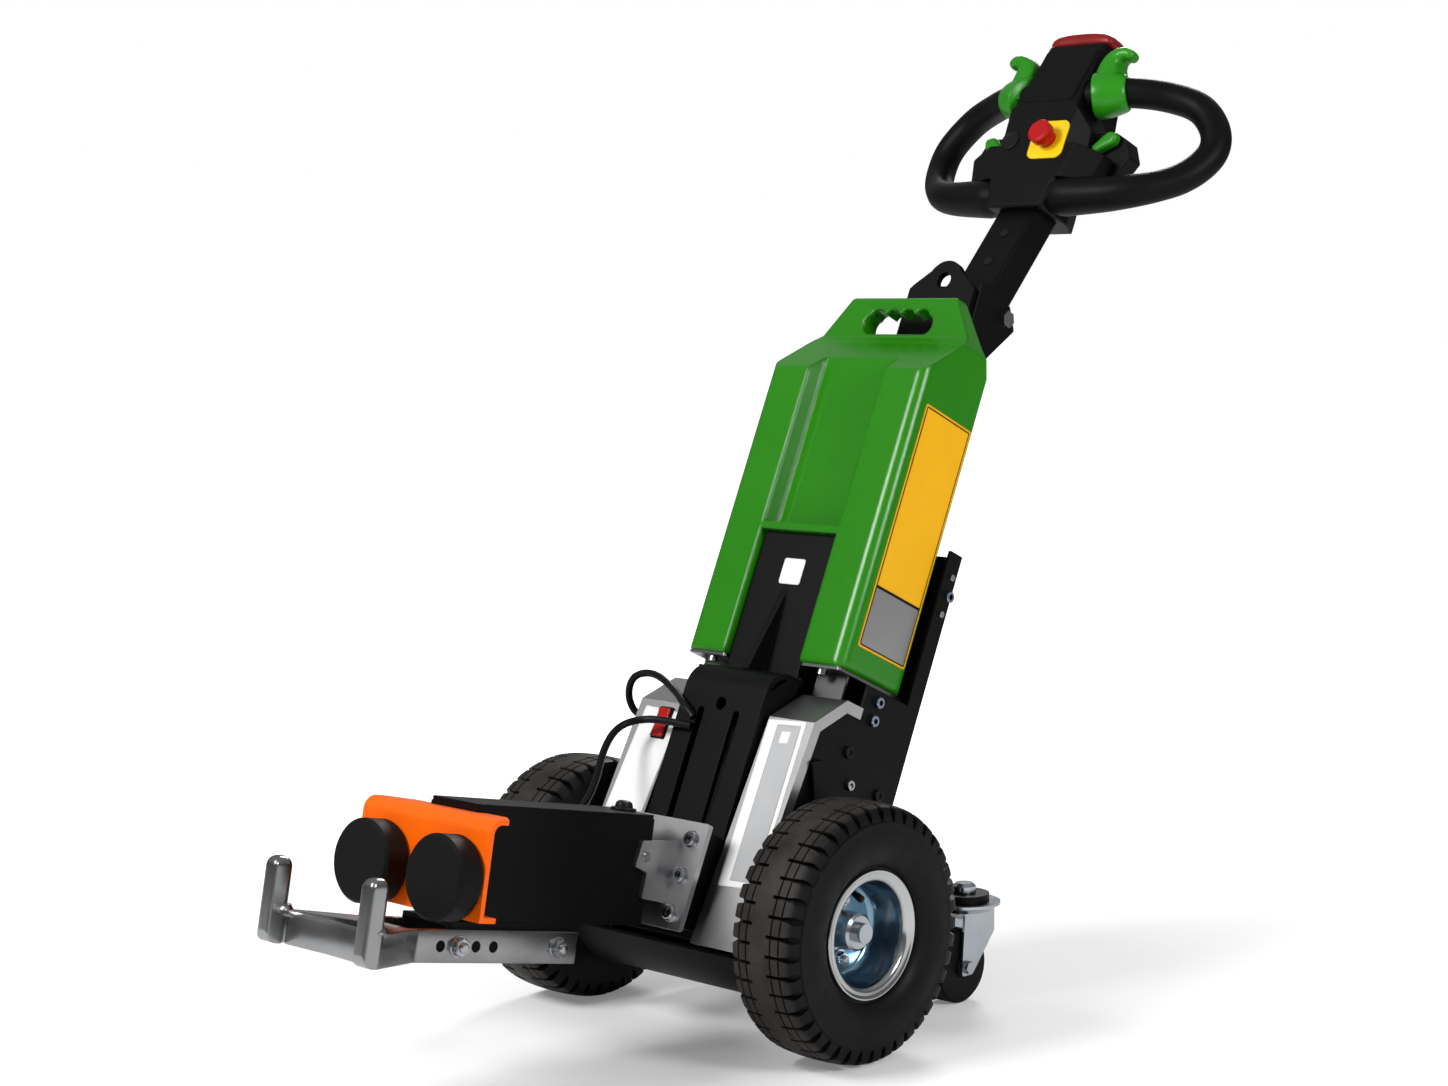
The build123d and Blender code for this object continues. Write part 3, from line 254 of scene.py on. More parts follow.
# The horn buttons, as an outline from the front with a radius for each corner
HORN_OUTLINE = [(60, 68), (82, 89), (96, 86), (93, 74), (70, 63)]
HORN_CORNERS = (5, 8, 5.5, 7, 5)
HORN_BACK = 18
HORN_THICKNESS = 13

# The hook fork in the arm's frame: outlines from above with a radius for each corner
HOOK_LOW = -106.6
HOOK_HIGH = -75.6
HOOK_SIDE = 40.3
HOOK_BAR = [
    (34.3, -80),
    (HOOK_SIDE, -80),
    (HOOK_SIDE, -283),
    (79, -357),
    (78, -361),
    (72.4, -357),
    (34.3, -284.5),
]
HOOK_BAR_CORNERS = (0, 0, 14, 2, 0, 0, 8)
HOOK_PLATE = [
    (-HOOK_SIDE, -290),
    (HOOK_SIDE, -290),
    (74, -350),
    (62, -357),
    (44, -350),
    (0, -347),
    (-44, -350),
    (-62, -357),
    (-74, -350),
]
HOOK_PLATE_CORNERS = (6, 6, 4, 5, 30, 60, 30, 5, 4)
HOOK_PLATE_THICKNESS = 6
HOOK_SKIRT = [(-60, -354), (0, -350), (60, -354), (60, -348), (0, -344), (-60, -348)]
HOOK_SKIRT_CORNERS = (0, 200, 0, 0, 200, 0)
HOOK_SKIRT_GAP = 2

# The prongs: the circles that their section wraps, and the middle that it draws in to at the top
PRONG_PARTS = [((75, -370), 4.0), ((65, -371), 3.0), ((70, -360), 9.0)]
PRONG_MIDDLE = (71, -363)
PRONG_DOME = 10.0
PRONG_FRONT = -374.0
PRONG_CORNER = 12.0
PRONG_TOP = -26.4
PRONG_SIDES = 64
PRONG_WELD = [(0, 0), (11.5, 0), (10.6, 2), (9.2, 3.6), (8.4, 5.6), (0, 5.6)]
PRONG_WELD_PLACE = (69.5, -355)

# The holes in the side bars: their height, and how far forward the spare and the bolted ones are
HOLE_LINE = -91.1
HOLE_SIDE = 40.25
SPARE_HOLES = (187.7, 209.5, 253.1)
BOLTED_HOLES = (105, 231.3)
# A thin dark disc of painted shade that stands for each spare hole, as a (radius, height) profile
SPARE_HOLE_SHADE = [(0, 0), (5.5, 0), (5.5, 0.12), (0, 0.12)]

# The belly button: across and rise, then half sizes back and up
BELLY_BACK = 36
BELLY_HEIGHT = 207
BELLY_BUTTON = [
    (-44.5, 3.0, 8.0, 2.0),
    (-43.0, 4.0, 14.0, 4.5),
    (-38.0, 5.5, 17.0, 7.5),
    (-28.0, 7.0, 18.0, 9.5),
    (-12.0, 8.0, 18.0, 10.5),
    (12.0, 8.0, 18.0, 10.5),
    (28.0, 7.0, 18.0, 9.5),
    (38.0, 5.5, 17.0, 7.5),
    (43.0, 4.0, 14.0, 4.5),
    (44.5, 3.0, 8.0, 2.0),
]

# Small turned pieces, as (radius, height) profiles
MOUNT_WASHER = [(0, 0), (9.0, 0), (9.0, 1.2), (8.6, 1.6), (0, 1.6)]
# A thin dark disc of painted shade at the floor of each bolt socket
SOCKET_SHADE = [(0, 0), (3.3, 0), (3.3, 0.2), (0, 0.2)]
TUBE_PLUG = [(0, 0), (6, 0), (5.4, 1.1), (0, 1.4)]
LID_BOLT = [(0, 0), (13, 0), (13, 2.4), (12.4, 3), (9, 3), (9, 5), (8, 8), (5.5, 9.8), (0, 10.4)]
FACE_PLUG = [(0, 0), (12, 0), (12, 1.2), (11, 2), (8.5, 2), (8, 1.4), (0, 1.4)]
HOOK_WASHER = [(0, 0), (10.6, 0), (10.6, 1.2), (10, 1.8), (0, 1.8)]
HOOK_NUT = [(0, 1.8), (9.3, 1.8), (9.3, 6.6), (8.2, 7.6), (0, 7.6)]
HOOK_END = [(0, 7), (5, 7), (5, 9.4), (3.6, 10.8), (0, 11.4)]
HUB_COLLAR = [(10, 14), (19, 14), (19, 14.8), (16.4, 17), (10, 17), (10, 14)]
VALVE_STEM = [
    (0, 0),
    (4.2, 0),
    (4.2, 8),
    (3.2, 9),
    (3.2, 24),
    (3.8, 24.4),
    (3.8, 31),
    (3.0, 32),
    (0, 32),
]
VALVE_PLACE = (-46, 0, -9)
VALVE_LEAN = 24

# The colour sockets of a Mix node, which share their names with its other sockets
MIX_FIRST = 6
MIX_SECOND = 7
MIX_RESULT = 2


class Wire:
    """A shader socket on which Python's arithmetic adds Math nodes."""

    def __init__(self, finish, socket):
        self.finish = finish
        self.socket = socket

    def maths(self, operation, *values):
        return self.finish.node("ShaderNodeMath", {"operation": operation}, *values)

    def __add__(self, other):
        return self.maths("ADD", self, other)

    def __sub__(self, other):
        return self.maths("SUBTRACT", self, other)

    def __mul__(self, other):
        return self.maths("MULTIPLY", self, other)

    __radd__ = __add__
    __rmul__ = __mul__


class Finish:
    """A material made from nodes, one method for any node."""

    def __init__(self, name):
        self.material = bpy.data.materials.new(name)
        self.material.use_nodes = True
        self.tree = self.material.node_tree
        self.shader = self.tree.nodes["Principled BSDF"]

    def put(self, socket, value):
        if isinstance(value, Wire):
            self.tree.links.new(value.socket, socket)
        else:
            socket.default_value = value

    def node(self, kind, settings=None, *values, out=0, **named):
        made = self.tree.nodes.new(kind)
        for key, value in (settings or {}).items():
            if key == "stops":
                ramp = made.color_ramp
                while len(ramp.elements) < len(value):
                    ramp.elements.new(1.0)
                for element, (place, level) in zip(ramp.elements, value):
                    element.position = place
                    element.color = (level, level, level, 1)
            else:
                setattr(made, key, value)
        for index, value in enumerate(values):
            self.put(made.inputs[index], value)
        for key, value in named.items():
            self.put(made.inputs[key.replace("_", " ")], value)
        return Wire(self, made.outputs[out])

    def place(self, scale=(1, 1, 1), start=(0, 0, 0)):
        where = self.node("ShaderNodeTexCoord", out="Object")
        return self.node("ShaderNodeMapping", None, Vector=where, Location=start, Scale=scale)

    def reach(self, place):
        return self.node("ShaderNodeVectorMath", {"operation": "LENGTH"}, place, out="Value")

    def from_axle(self):
        """How far a place is from the axle of the drive wheels, in metres."""
        return self.reach(self.place((0, 1, 1), (0, -axle.y, -axle.z)))

    def noise(self, scale, detail=3.0, roughness=0.5, stretch=(1, 1, 1)):
        return self.node(
            "ShaderNodeTexNoise",
            None,
            Vector=self.place(stretch),
            Scale=scale,
            Detail=detail,
            Roughness=roughness,
        )

    def ramp(self, value, *stops):
        return self.node("ShaderNodeValToRGB", {"stops": stops}, value)

    def blend(self, factor, first, second):
        made = self.tree.nodes.new("ShaderNodeMix")
        made.data_type = "RGBA"
        self.put(made.inputs["Factor"], factor)
        self.put(made.inputs[MIX_FIRST], first)
        self.put(made.inputs[MIX_SECOND], second)
        return Wire(self, made.outputs[MIX_RESULT])

    def bump(self, height, strength, distance=0.001, edge=0):
        """A fine relief, on edges that look rounded by a radius in metres."""
        made = self.node("ShaderNodeBump", None, Height=height, Strength=strength, Distance=distance)
        if edge:
            soft = self.node("ShaderNodeBevel", {"samples": 6}, Radius=edge)
            self.put(made.socket.node.inputs["Normal"], soft)
        return made

    def surface(self, **named):
        for key, value in named.items():
            self.put(self.shader.inputs[key.replace("_", " ")], value)
        return self.material


def rgb(red, green, blue):
    """A colour from the values that a screen shows."""
    shares = [value / 255 for value in (red, green, blue)]
    linear = [((s + 0.055) / 1.055) ** 2.4 if s > 10 / 255 else s / 12.92 for s in shares]
    return (*linear, 1)


def coat(name, low, high, cloud, gloss, shine, grain, relief):
    """Paint, plastic or rubber: two close tones in soft clouds under a fine grain.

    Clouds and grain are (scale, detail) of their noise, gloss is the least roughness and what the
    clouds add, and relief is (strength, distance, edge) of the bump.
    """
    f = Finish(name)
    patches = f.noise(*cloud)
    return f.surface(
        Base_Color=f.blend(patches, rgb(*low), rgb(*high)),
        Roughness=gloss[0] + gloss[1] * patches,
        Specular_IOR_Level=shine,
        Normal=f.bump(f.noise(*grain), *relief),
    )


def powder_black(name, tone=7, gloss=0.38):
    """Powder coat with a light orange-peel skin."""
    return coat(
        name,
        low=(tone - 4, tone - 4, tone - 4),
        high=(tone + 3, tone + 3, tone + 4),
        cloud=(9.0,),
        gloss=(gloss, 0.12),
        shine=0.12,
        grain=(420.0, 2.0),
        relief=(0.12, 0.0006, 0.0015),
    )


def plain_plastic(name, low, high, gloss, shine=0.35):
    """Smooth plastic or film between two tones."""
    return coat(
        name,
        low,
        high,
        cloud=(30.0,),
        gloss=(gloss, 0.1),
        shine=shine,
        grain=(500.0, 2.0),
        relief=(0.03, 0.0002, 0.003),
    )


def tyre_rubber():
    """Black rubber with a worn, dusty crown."""
    f = Finish("tyre_rubber")
    dust = f.ramp(f.noise(34.0, 6.0, 0.65), (0.36, 0.0), (0.72, 1.0))
    worn = f.ramp((f.from_axle() - 0.1245) * 250.0, (0.0, 0.0), (1.0, 1.0))
    side = f.blend(dust, rgb(5, 5, 6), rgb(12, 12, 12))
    crown = f.blend(dust, rgb(36, 34, 32), rgb(56, 52, 48))
    return f.surface(
        Base_Color=f.blend(worn, side, crown),
        Roughness=0.44 + 0.22 * dust,
        Specular_IOR_Level=0.16,
        Normal=f.bump(f.noise(600.0), 0.25, 0.0005),
    )


def brushed_stainless(name, stretch=(3, 40, 40), tone=190):
    """Steel with fine brush lines."""
    f = Finish(name)
    lines = f.noise(30.0, 5.0, 0.7, stretch)
    cloud = f.noise(7.0)
    dark = rgb(tone - 14, tone - 14, tone - 12)
    bright = rgb(tone + 14, tone + 14, tone + 15)
    return f.surface(
        Base_Color=f.blend(cloud, dark, bright),
        Metallic=1.0,
        Roughness=0.24 + 0.16 * lines,
        Normal=f.bump(lines, 0.12, 0.0003),
    )


def zinc_plate(name, tint):
    """Bright plated steel with soft clouds."""
    f = Finish(name)
    cloud = f.noise(26.0, 5.0, 0.6)
    dark = rgb(*(v - 24 for v in tint))
    bright = rgb(*(v + 16 for v in tint))
    return f.surface(
        Base_Color=f.blend(cloud, dark, bright),
        Metallic=1.0,
        Roughness=0.14 + 0.16 * cloud,
        Normal=f.bump(f.noise(240.0), 0.04, 0.0003),
    )


def rim_zinc():
    """Bright zinc that turns blue in the dish of the rim."""
    f = Finish("rim_zinc")
    outward = f.ramp((f.from_axle() - 0.0495) * 300.0, (0.0, 0.0), (1.0, 1.0))
    cloud = f.noise(26.0, 5.0, 0.6)
    dish = f.blend(cloud, rgb(84, 128, 158), rgb(150, 176, 190))
    edge = f.blend(cloud, rgb(160, 162, 163), rgb(204, 206, 206))
    return f.surface(
        Base_Color=f.blend(outward, dish, edge),
        Metallic=1.0,
        Roughness=0.12 + 0.12 * cloud,
        Normal=f.bump(f.noise(240.0), 0.04, 0.0003),
    )


def galvanised_steel():
    """Grey zinc with faint crystals."""
    f = Finish("galvanised_steel")
    flakes = f.node("ShaderNodeTexVoronoi", {"feature": "F1"}, Vector=f.place(), Scale=190.0)
    cloud = f.noise(14.0, 4.0, 0.55)
    grey = f.blend(cloud, rgb(120, 121, 122), rgb(186, 187, 188))
    return f.surface(
        Base_Color=f.blend(0.16 * flakes, grey, rgb(96, 97, 99)),
        Metallic=1.0,
        Roughness=0.16 + 0.18 * cloud,
        Normal=f.bump(f.noise(300.0), 0.05, 0.0003, 0.002),
    )


ORANGE_COAT = coat(
    "orange_coat",
    low=(250, 94, 0),
    high=(255, 108, 0),
    cloud=(14.0,),
    gloss=(0.3, 0.1),
    shine=0.2,
    grain=(380.0, 2.0),
    relief=(0.1, 0.0006),
)
GREEN_SHELL = coat(
    "moulded_green",
    low=(30, 118, 4),
    high=(40, 130, 8),
    cloud=(6.0, 2.0),
    gloss=(0.14, 0.1),
    shine=0.4,
    grain=(700.0, 2.0),
    relief=(0.05, 0.0003, 0.006),
)
MOULDED_BLACK = coat(
    "moulded_black",
    low=(7, 7, 8),
    high=(12, 12, 13),
    cloud=(20.0,),
    gloss=(0.42, 0.1),
    shine=0.12,
    grain=(1400.0, 2.0),
    relief=(0.22, 0.0003, 0.0028),
)
BUFFER_RUBBER = coat(
    "buffer_rubber",
    low=(7, 7, 7),
    high=(13, 13, 13),
    cloud=(40.0, 4.0),
    gloss=(0.45, 0.2),
    shine=0.13,
    grain=(500.0,),
    relief=(0.15, 0.0005),
)
GRIP_SLEEVE = coat(
    "grip_sleeve",
    low=(6, 6, 7),
    high=(11, 11, 12),
    cloud=(60.0, 4.0),
    gloss=(0.42, 0.14),
    shine=0.12,
    grain=(900.0, 2.0),
    relief=(0.2, 0.0004),
)

# What each material slot of the record is finished with
FINISHES = {
    "tyre_rubber": tyre_rubber(),
    "wheel_steel": zinc_plate("zinc_plate", (178, 184, 190)),
    "stainless": brushed_stainless("brushed_stainless"),
    "black_paint": powder_black("powder_black"),
    "orange_paint": ORANGE_COAT,
    "galvanised": galvanised_steel(),
    "green_shell": GREEN_SHELL,
    "black_plastic": MOULDED_BLACK,
    "buffer_rubber": BUFFER_RUBBER,
    "grip_foam": GRIP_SLEEVE,
    "red_plastic": plain_plastic("red_plastic", (164, 6, 8), (190, 12, 12), 0.24),
    "yellow_plastic": plain_plastic("yellow_plastic", (248, 200, 0), (255, 214, 6), 0.34),
    "green_plastic": plain_plastic("green_plastic", (30, 128, 10), (44, 144, 20), 0.26),
    "drive_metal": powder_black("drive_metal", 40, 0.5),
    "cable_black": plain_plastic("cable_black", (6, 6, 7), (11, 11, 12), 0.34, 0.16),
}

# Finishes of single pieces
# A white film for labels and stickers, and also for a painted highlight on the switch cover
WHITE_LABEL_AND_HIGHLIGHT = plain_plastic("white_label_and_highlight", (240, 240, 239), (250, 250, 249), 0.42)
GREY_BAND = plain_plastic("grey_band", (176, 178, 180), (192, 193, 195), 0.4)
DARK_RED = plain_plastic("dark_red", (118, 8, 8), (142, 12, 12), 0.3)
AMBER_LABEL = plain_plastic("amber_label", (244, 176, 0), (250, 188, 2), 0.36)
# A darker copy of the brushed stainless for the battery tray: painted shade under the case
SHADED_TRAY_STEEL = brushed_stainless("shaded_tray_steel", tone=104)
SILVER_FILM = brushed_stainless("silver_film", (40, 40, 3), 176)
BLUE_ZINC = zinc_plate("blue_zinc", (150, 162, 184))
BOLT_STEEL = zinc_plate("bolt_steel", (176, 178, 182))
BLACK_BOLT = powder_black("black_bolt", 26, 0.3)
# Painted shade: a dark finish for the discs that stand in for holes and socket floors
PAINTED_SHADE_BLACK = powder_black("painted_shade_black", 6, 0.7)
RIM_ZINC = rim_zinc()


def dress_cad():
    """Every carried-over node takes the finish of its material slot, but the battery tray takes a darker steel
    that paints the shade under the case.
    """
    for row in frame["record"]["subparts"]:
        node = frame["nodes"][row["node"]]
        finish = SHADED_TRAY_STEEL if row["node"] == "battery_tray" else FINISHES[row["material_slot"]]
        for slot in node.material_slots:
            slot.material = finish
        if not node.material_slots:
            node.data.materials.append(finish)


def piece(name, mesh, body, material, place):
    """A new object from a mesh in one of the millimetre frames, which rides on a body."""
    made = bpy.data.objects.new(name, mesh)
    bpy.context.scene.collection.objects.link(made)
    mesh.transform(place)
    mesh.materials.append(material)
    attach(made, body)
    return made


def mesh_of(work, name, smooth_angle=35.0):
    """A mesh from a bmesh, shaded smooth but for its sharp edges."""
    mesh = bpy.data.meshes.new(name)
    bmesh.ops.recalc_face_normals(work, faces=work.faces)
    limit = math.radians(smooth_angle)
    for edge in work.edges:
        if len(edge.link_faces) == 2 and edge.calc_face_angle(0) > limit:
            edge.smooth = False
    for face in work.faces:
        face.smooth = True
    work.to_mesh(mesh)
    work.free()
    return mesh


def turned(profile, steps=32):
    """A bmesh from a (radius, height) profile turned round Z."""
    work = bmesh.new()
    rings = []
    for radius, height in profile:
        if radius < 1e-6:
            rings.append([work.verts.new((0, 0, height))])
            continue
        ring = []
        for step in range(steps):
            angle = 2 * math.pi * step / steps
            ring.append(work.verts.new((radius * math.cos(angle), radius * math.sin(angle), height)))
        rings.append(ring)
    for low, high in zip(rings, rings[1:]):
        for step in range(steps):
            after = (step + 1) % steps
            if len(low) == 1:
                work.faces.new((low[0], high[step], high[after]))
            elif len(high) == 1:
                work.faces.new((low[step], high[0], low[after]))
            else:
                work.faces.new((low[step], high[step], high[after], low[after]))
    return work


def skin(work, rings):
    """Faces between closed rings of vertices, and one over each end."""
    for ring, after in zip(rings, rings[1:]):
        for index in range(len(ring)):
            more = (index + 1) % len(ring)
            work.faces.new((ring[index], ring[more], after[more], after[index]))
    work.faces.new(rings[0])
    work.faces.new(rings[-1])


def facing(direction):
    """The rotation that turns Z to a direction."""
    return Vector((0, 0, 1)).rotation_difference(Vector(direction).normalized()).to_matrix().to_4x4()


def rounded(points, corners, steps=6):
    """An outline with round corners from points and a radius for each."""
    outline = []
    for index, point in enumerate(points):
        here = Vector(point)
        back = (Vector(points[index - 1]) - here).normalized()
        on = (Vector(points[(index + 1) % len(points)]) - here).normalized()
        if not corners[index]:
            outline.append(here)
            continue
        half = back.angle(on) / 2
        reach = corners[index] / math.tan(half)
        start = here + back * reach
        end = here + on * reach
        middle = here + (back + on).normalized() * corners[index] / math.sin(half)
        for step in range(steps + 1):
            t = step / steps
            turn = (start - middle).lerp(end - middle, t).normalized()
            outline.append(middle + turn * corners[index])
    return outline


def raised(outline, thickness):
    """A bmesh of a sharp flat plate with any outline, from z 0 to its thickness."""
    work = bmesh.new()
    face = work.faces.new([work.verts.new((x, y, 0)) for x, y in outline])
    grown = bmesh.ops.extrude_face_region(work, geom=[face])
    top = [v for v in grown["geom"] if isinstance(v, bmesh.types.BMVert)]
    bmesh.ops.translate(work, verts=top, vec=(0, 0, thickness))
    return work


def plate(outline, thickness, bevel=0.8, segments=2):
    """A bmesh of a flat plate with any outline, with both rims bevelled."""
    work = raised(outline, thickness)
    edges = [e for e in work.edges if abs(e.verts[0].co.z - e.verts[1].co.z) < thickness / 2]
    bmesh.ops.bevel(
        work, geom=edges, offset=bevel, segments=segments, profile=0.5, affect="EDGES"
    )
    return work


def add_to(work, one, place):
    """Puts one bmesh into another at a place."""
    one.transform(place)
    part = bpy.data.meshes.new("part")
    one.to_mesh(part)
    one.free()
    work.from_mesh(part)
    bpy.data.meshes.remove(part)


def slab(width, height, thickness, corner):
    """A bmesh of a thin plate with round corners, with its upper rim bevelled."""
    steps = 6
    outline = []
    for index, (sx, sy) in enumerate(((1, 1), (-1, 1), (-1, -1), (1, -1))):
        for step in range(steps + 1):
            angle = math.pi / 2 * (index + step / steps)
            x = sx * (width / 2 - corner) + corner * math.cos(angle)
            y = sy * (height / 2 - corner) + corner * math.sin(angle)
            outline.append((x, y))
    work = raised(outline, thickness)
    edges = [e for e in work.edges if all(v.co.z > thickness * 0.99 for v in e.verts)]
    bevel = min(FILM_BEVEL, thickness * 0.6)
    bmesh.ops.bevel(work, geom=edges, offset=bevel, segments=2, affect="EDGES")
    return work


def wheel_centre(side):
    """The frame in millimetres of a drive wheel, level with the world."""
    return WORLD @ Matrix.Translation((side * TRACK / 2, 0, axle.z / MM))


def wheel_frame(side):
    """The same frame with its Z along the axle, outward."""
    return wheel_centre(side) @ Matrix.Rotation(math.radians(90 * side), 4, "Y")


def tyre(side, body, node):
    """One tyre with its ribbed crown, staggered slots and raised side ring."""
    half = TYRE_SECTION
    section = [(-1, *point) for point in reversed(half[1:])] + [(1, *point) for point in half]
    pitch = 2 * math.pi / TREAD_PITCHES
    work = bmesh.new()
    rings = []
    for index in range(TREAD_PITCHES):
        for share, slotted, cut, wall in TREAD_COLUMNS:
            ring = []
            for hand, x, radius, slot_x, slot_radius, wider in section:
                angle = (index + share) * pitch
                if hand == slotted:
                    angle += wall * wider * pitch
                    if cut:
                        x, radius = slot_x, slot_radius
                back = radius * math.cos(angle)
                up = radius * math.sin(angle)
                ring.append(work.verts.new((hand * x, back, up)))
            rings.append(ring)
    for ring, after in zip(rings, rings[1:] + rings[:1]):
        for low in range(len(section) - 1):
            work.faces.new((ring[low], ring[low + 1], after[low + 1], after[low]))
    mesh = mesh_of(work, "tyre_" + body, 28.0)
    place = wheel_centre(side) @ Matrix.Rotation(TREAD_TURN * side, 4, "X")
    made = piece("tread_" + body, mesh, body, FINISHES["tyre_rubber"], place)
    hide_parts(node)


def smooth_path(points, steps):
    """A line through the points without corners, with steps places to each stretch."""
    points = [Vector(point) for point in points]
    guides = [points[0] * 2 - points[1]] + points + [points[-1] * 2 - points[-2]]
    path = []
    for index in range(len(points) - 1):
        before, start, end, after = guides[index : index + 4]
        for step in range(steps):
            t = step / steps
            place = 0.5 * (
                2 * start
                + (end - before) * t
                + (2 * before - 5 * start + 4 * end - after) * t * t
                + (3 * start - before - 3 * end + after) * t * t * t
            )
            path.append(place)
    path.append(points[-1])
    return path


def tube(path, radii):
    """A bmesh tube along a path, with a radius for each of its places and closed ends."""
    sides = 36
    work = bmesh.new()
    rings = []
    across = None
    for index, place in enumerate(path):
        run = (path[min(index + 1, len(path) - 1)] - path[max(index - 1, 0)]).normalized()
        if across is None:
            across = run.orthogonal()
        across = (across - run * across.dot(run)).normalized()
        other = run.cross(across)
        ring = []
        for side in range(sides):
            angle = 2 * math.pi * side / sides
            reach = across * math.cos(angle) + other * math.sin(angle)
            ring.append(work.verts.new(place + reach * radii[index]))
        rings.append(ring)
    skin(work, rings)
    return work


def grade(value, low, high):
    """How far a value is from low to high, held between 0 and 1."""
    return min(1, max(0, (value - low) / (high - low)))


def handle_bar(hand, node):
    """One loop of the handlebar: a smooth sleeve that thickens where it meets the head."""
    path = smooth_path([(hand * x, y, z) for x, y, z in LOOP_ROUTE], 14)
    radii = []
    for place in path:
        radius = BAR_RADIUS
        if place.z < BAR_SWELL_TOP:
            reach = abs(place.x)
            grown = grade(reach, BAR_SWELL_START, BAR_SWELL_FULL)
            swell = grown * (1 - grade(reach, BAR_SWELL_FULL, BAR_SWELL_END))
            radius += (BAR_ROOT_RADIUS - BAR_RADIUS) * swell
        radii.append(radius)
    mesh = mesh_of(tube(path, radii), "bar_" + node)
    made = piece("bar_" + node, mesh, "tiller", FINISHES["grip_foam"], HEAD)
    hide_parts(node)


def rim(side, body, node):
    """One rim with its rolled edge, its curved dish and four stud nuts."""
    place = wheel_frame(side)
    mesh = mesh_of(turned(RIM_PROFILE + RIM_PROFILE[:1], 96), "rim_" + body, 40.0)
    made = piece("rim_" + body, mesh, body, RIM_ZINC, place)
    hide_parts(node)
    work = bmesh.new()
    for turn in range(4):
        angle = math.radians(90 * turn)
        centre = Matrix.Translation((30 * math.cos(angle), 30 * math.sin(angle), -10))
        for profile, steps in ((STUD_WASHER, 28), (STUD_NUT, 6), (STUD_END, 20)):
            add_to(work, turned(profile, steps), centre)
    piece("studs_" + body, mesh_of(work, "studs_" + body), body, BOLT_STEEL, place)


def loft(work, centres, halves, steps, sides=28, blunt=2.6, upward=False):
    """A closed rounded body added to a bmesh: centres, and half sizes back and square to the way."""
    path = smooth_path(centres, steps)
    sizes = smooth_path([(a, b, 0) for a, b in halves], steps)
    rings = []
    for index, place in enumerate(path):
        run = path[min(index + 1, len(path) - 1)] - path[max(index - 1, 0)]
        back = Vector((0, 1, 0))
        other = Vector((0, 0, 1)) if upward else run.cross(back).normalized()
        ring = []
        for side in range(sides):
            angle = 2 * math.pi * side / sides
            c = math.cos(angle)
            s = math.sin(angle)
            one = math.copysign(abs(c) ** (2 / blunt), c) * sizes[index].x
            two = math.copysign(abs(s) ** (2 / blunt), s) * sizes[index].y
            ring.append(work.verts.new(place + back * one + other * two))
        rings.append(ring)
    skin(work, rings)


def paddles():
    """The two throttle paddles: rounded drums round the bar with hooked thumb levers."""
    work = bmesh.new()
    for hand in (1, -1):
        start, end = (Vector((hand * x, y, z)) for x, y, z in (PADDLE_START, PADDLE_END))
        add_to(work, turned(PADDLE_DRUM, 56), Matrix.Translation(start) @ facing(end - start))
        centres = [(hand * x, y, z) for x, y, z, _, _ in PADDLE_LEVER]
        loft(work, centres, [(a, b) for _, _, _, a, b in PADDLE_LEVER], 6)
    mesh = mesh_of(work, "paddles")
    made = piece("paddles", mesh, "tiller", FINISHES["green_plastic"], HEAD)
    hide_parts("throttle_paddles")


def belly_button():
    """The rounded red button along the top of the head."""
    work = bmesh.new()
    centres = [(x, BELLY_BACK, BELLY_HEIGHT + rise) for x, rise, _, _ in BELLY_BUTTON]
    sizes = [(a, b) for _, _, a, b in BELLY_BUTTON]
    loft(work, centres, sizes, 5, sides=36, blunt=3.0, upward=True)
    made = piece("belly_pad", mesh_of(work, "belly_pad"), "tiller", DARK_RED, HEAD)
    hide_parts("belly_button")


def horn_buttons():
    """The two rounded horn buttons beside the head."""
    work = bmesh.new()
    upright = Matrix(((1, 0, 0, 0), (0, 0, -1, HORN_BACK), (0, 1, 0, 0), (0, 0, 0, 1)))
    for hand in (1, -1):
        outline = [(hand * x, z) for x, z in HORN_OUTLINE]
        add_to(work, plate(rounded(outline, HORN_CORNERS, 8), HORN_THICKNESS, 4.0, 5), upright)
    mesh = mesh_of(work, "horn_pads")
    made = piece("horn_pads", mesh, "tiller", FINISHES["green_plastic"], HEAD)
    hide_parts("horn_buttons")


def prong(work, hand):
    """One upright prong added to a bmesh: a plate and a rod grown into one, with a domed top."""
    levels = [(HOOK_LOW, 0.94), (HOOK_LOW + 0.5, 0.98), (HOOK_LOW + 1.4, 1)]
    levels += [(HOOK_LOW + 1.4 + 10.6 * step / 8, 1) for step in range(1, 9)]
    for step in range(12):
        turn = math.radians(90 * step / 12)
        levels.append((PRONG_TOP - PRONG_DOME * (1 - math.sin(turn)), math.cos(turn) ** 0.75))
    rings = []
    for height, full in levels:
        corner = max(0, PRONG_CORNER - (height - HOOK_LOW))
        nearest = PRONG_FRONT + PRONG_CORNER - math.sqrt(PRONG_CORNER**2 - corner**2)
        ring = []
        for step in range(PRONG_SIDES):
            angle = 2 * math.pi * step / PRONG_SIDES
            way = Vector((math.cos(angle), math.sin(angle)))
            centre, radius = max(PRONG_PARTS, key=lambda part: Vector(part[0]).dot(way) + part[1])
            spot = Vector(PRONG_MIDDLE).lerp(Vector(centre) + way * radius, full)
            ring.append(work.verts.new((hand * spot.x, max(spot.y, nearest), height)))
        rings.append(ring)
    skin(work, rings)


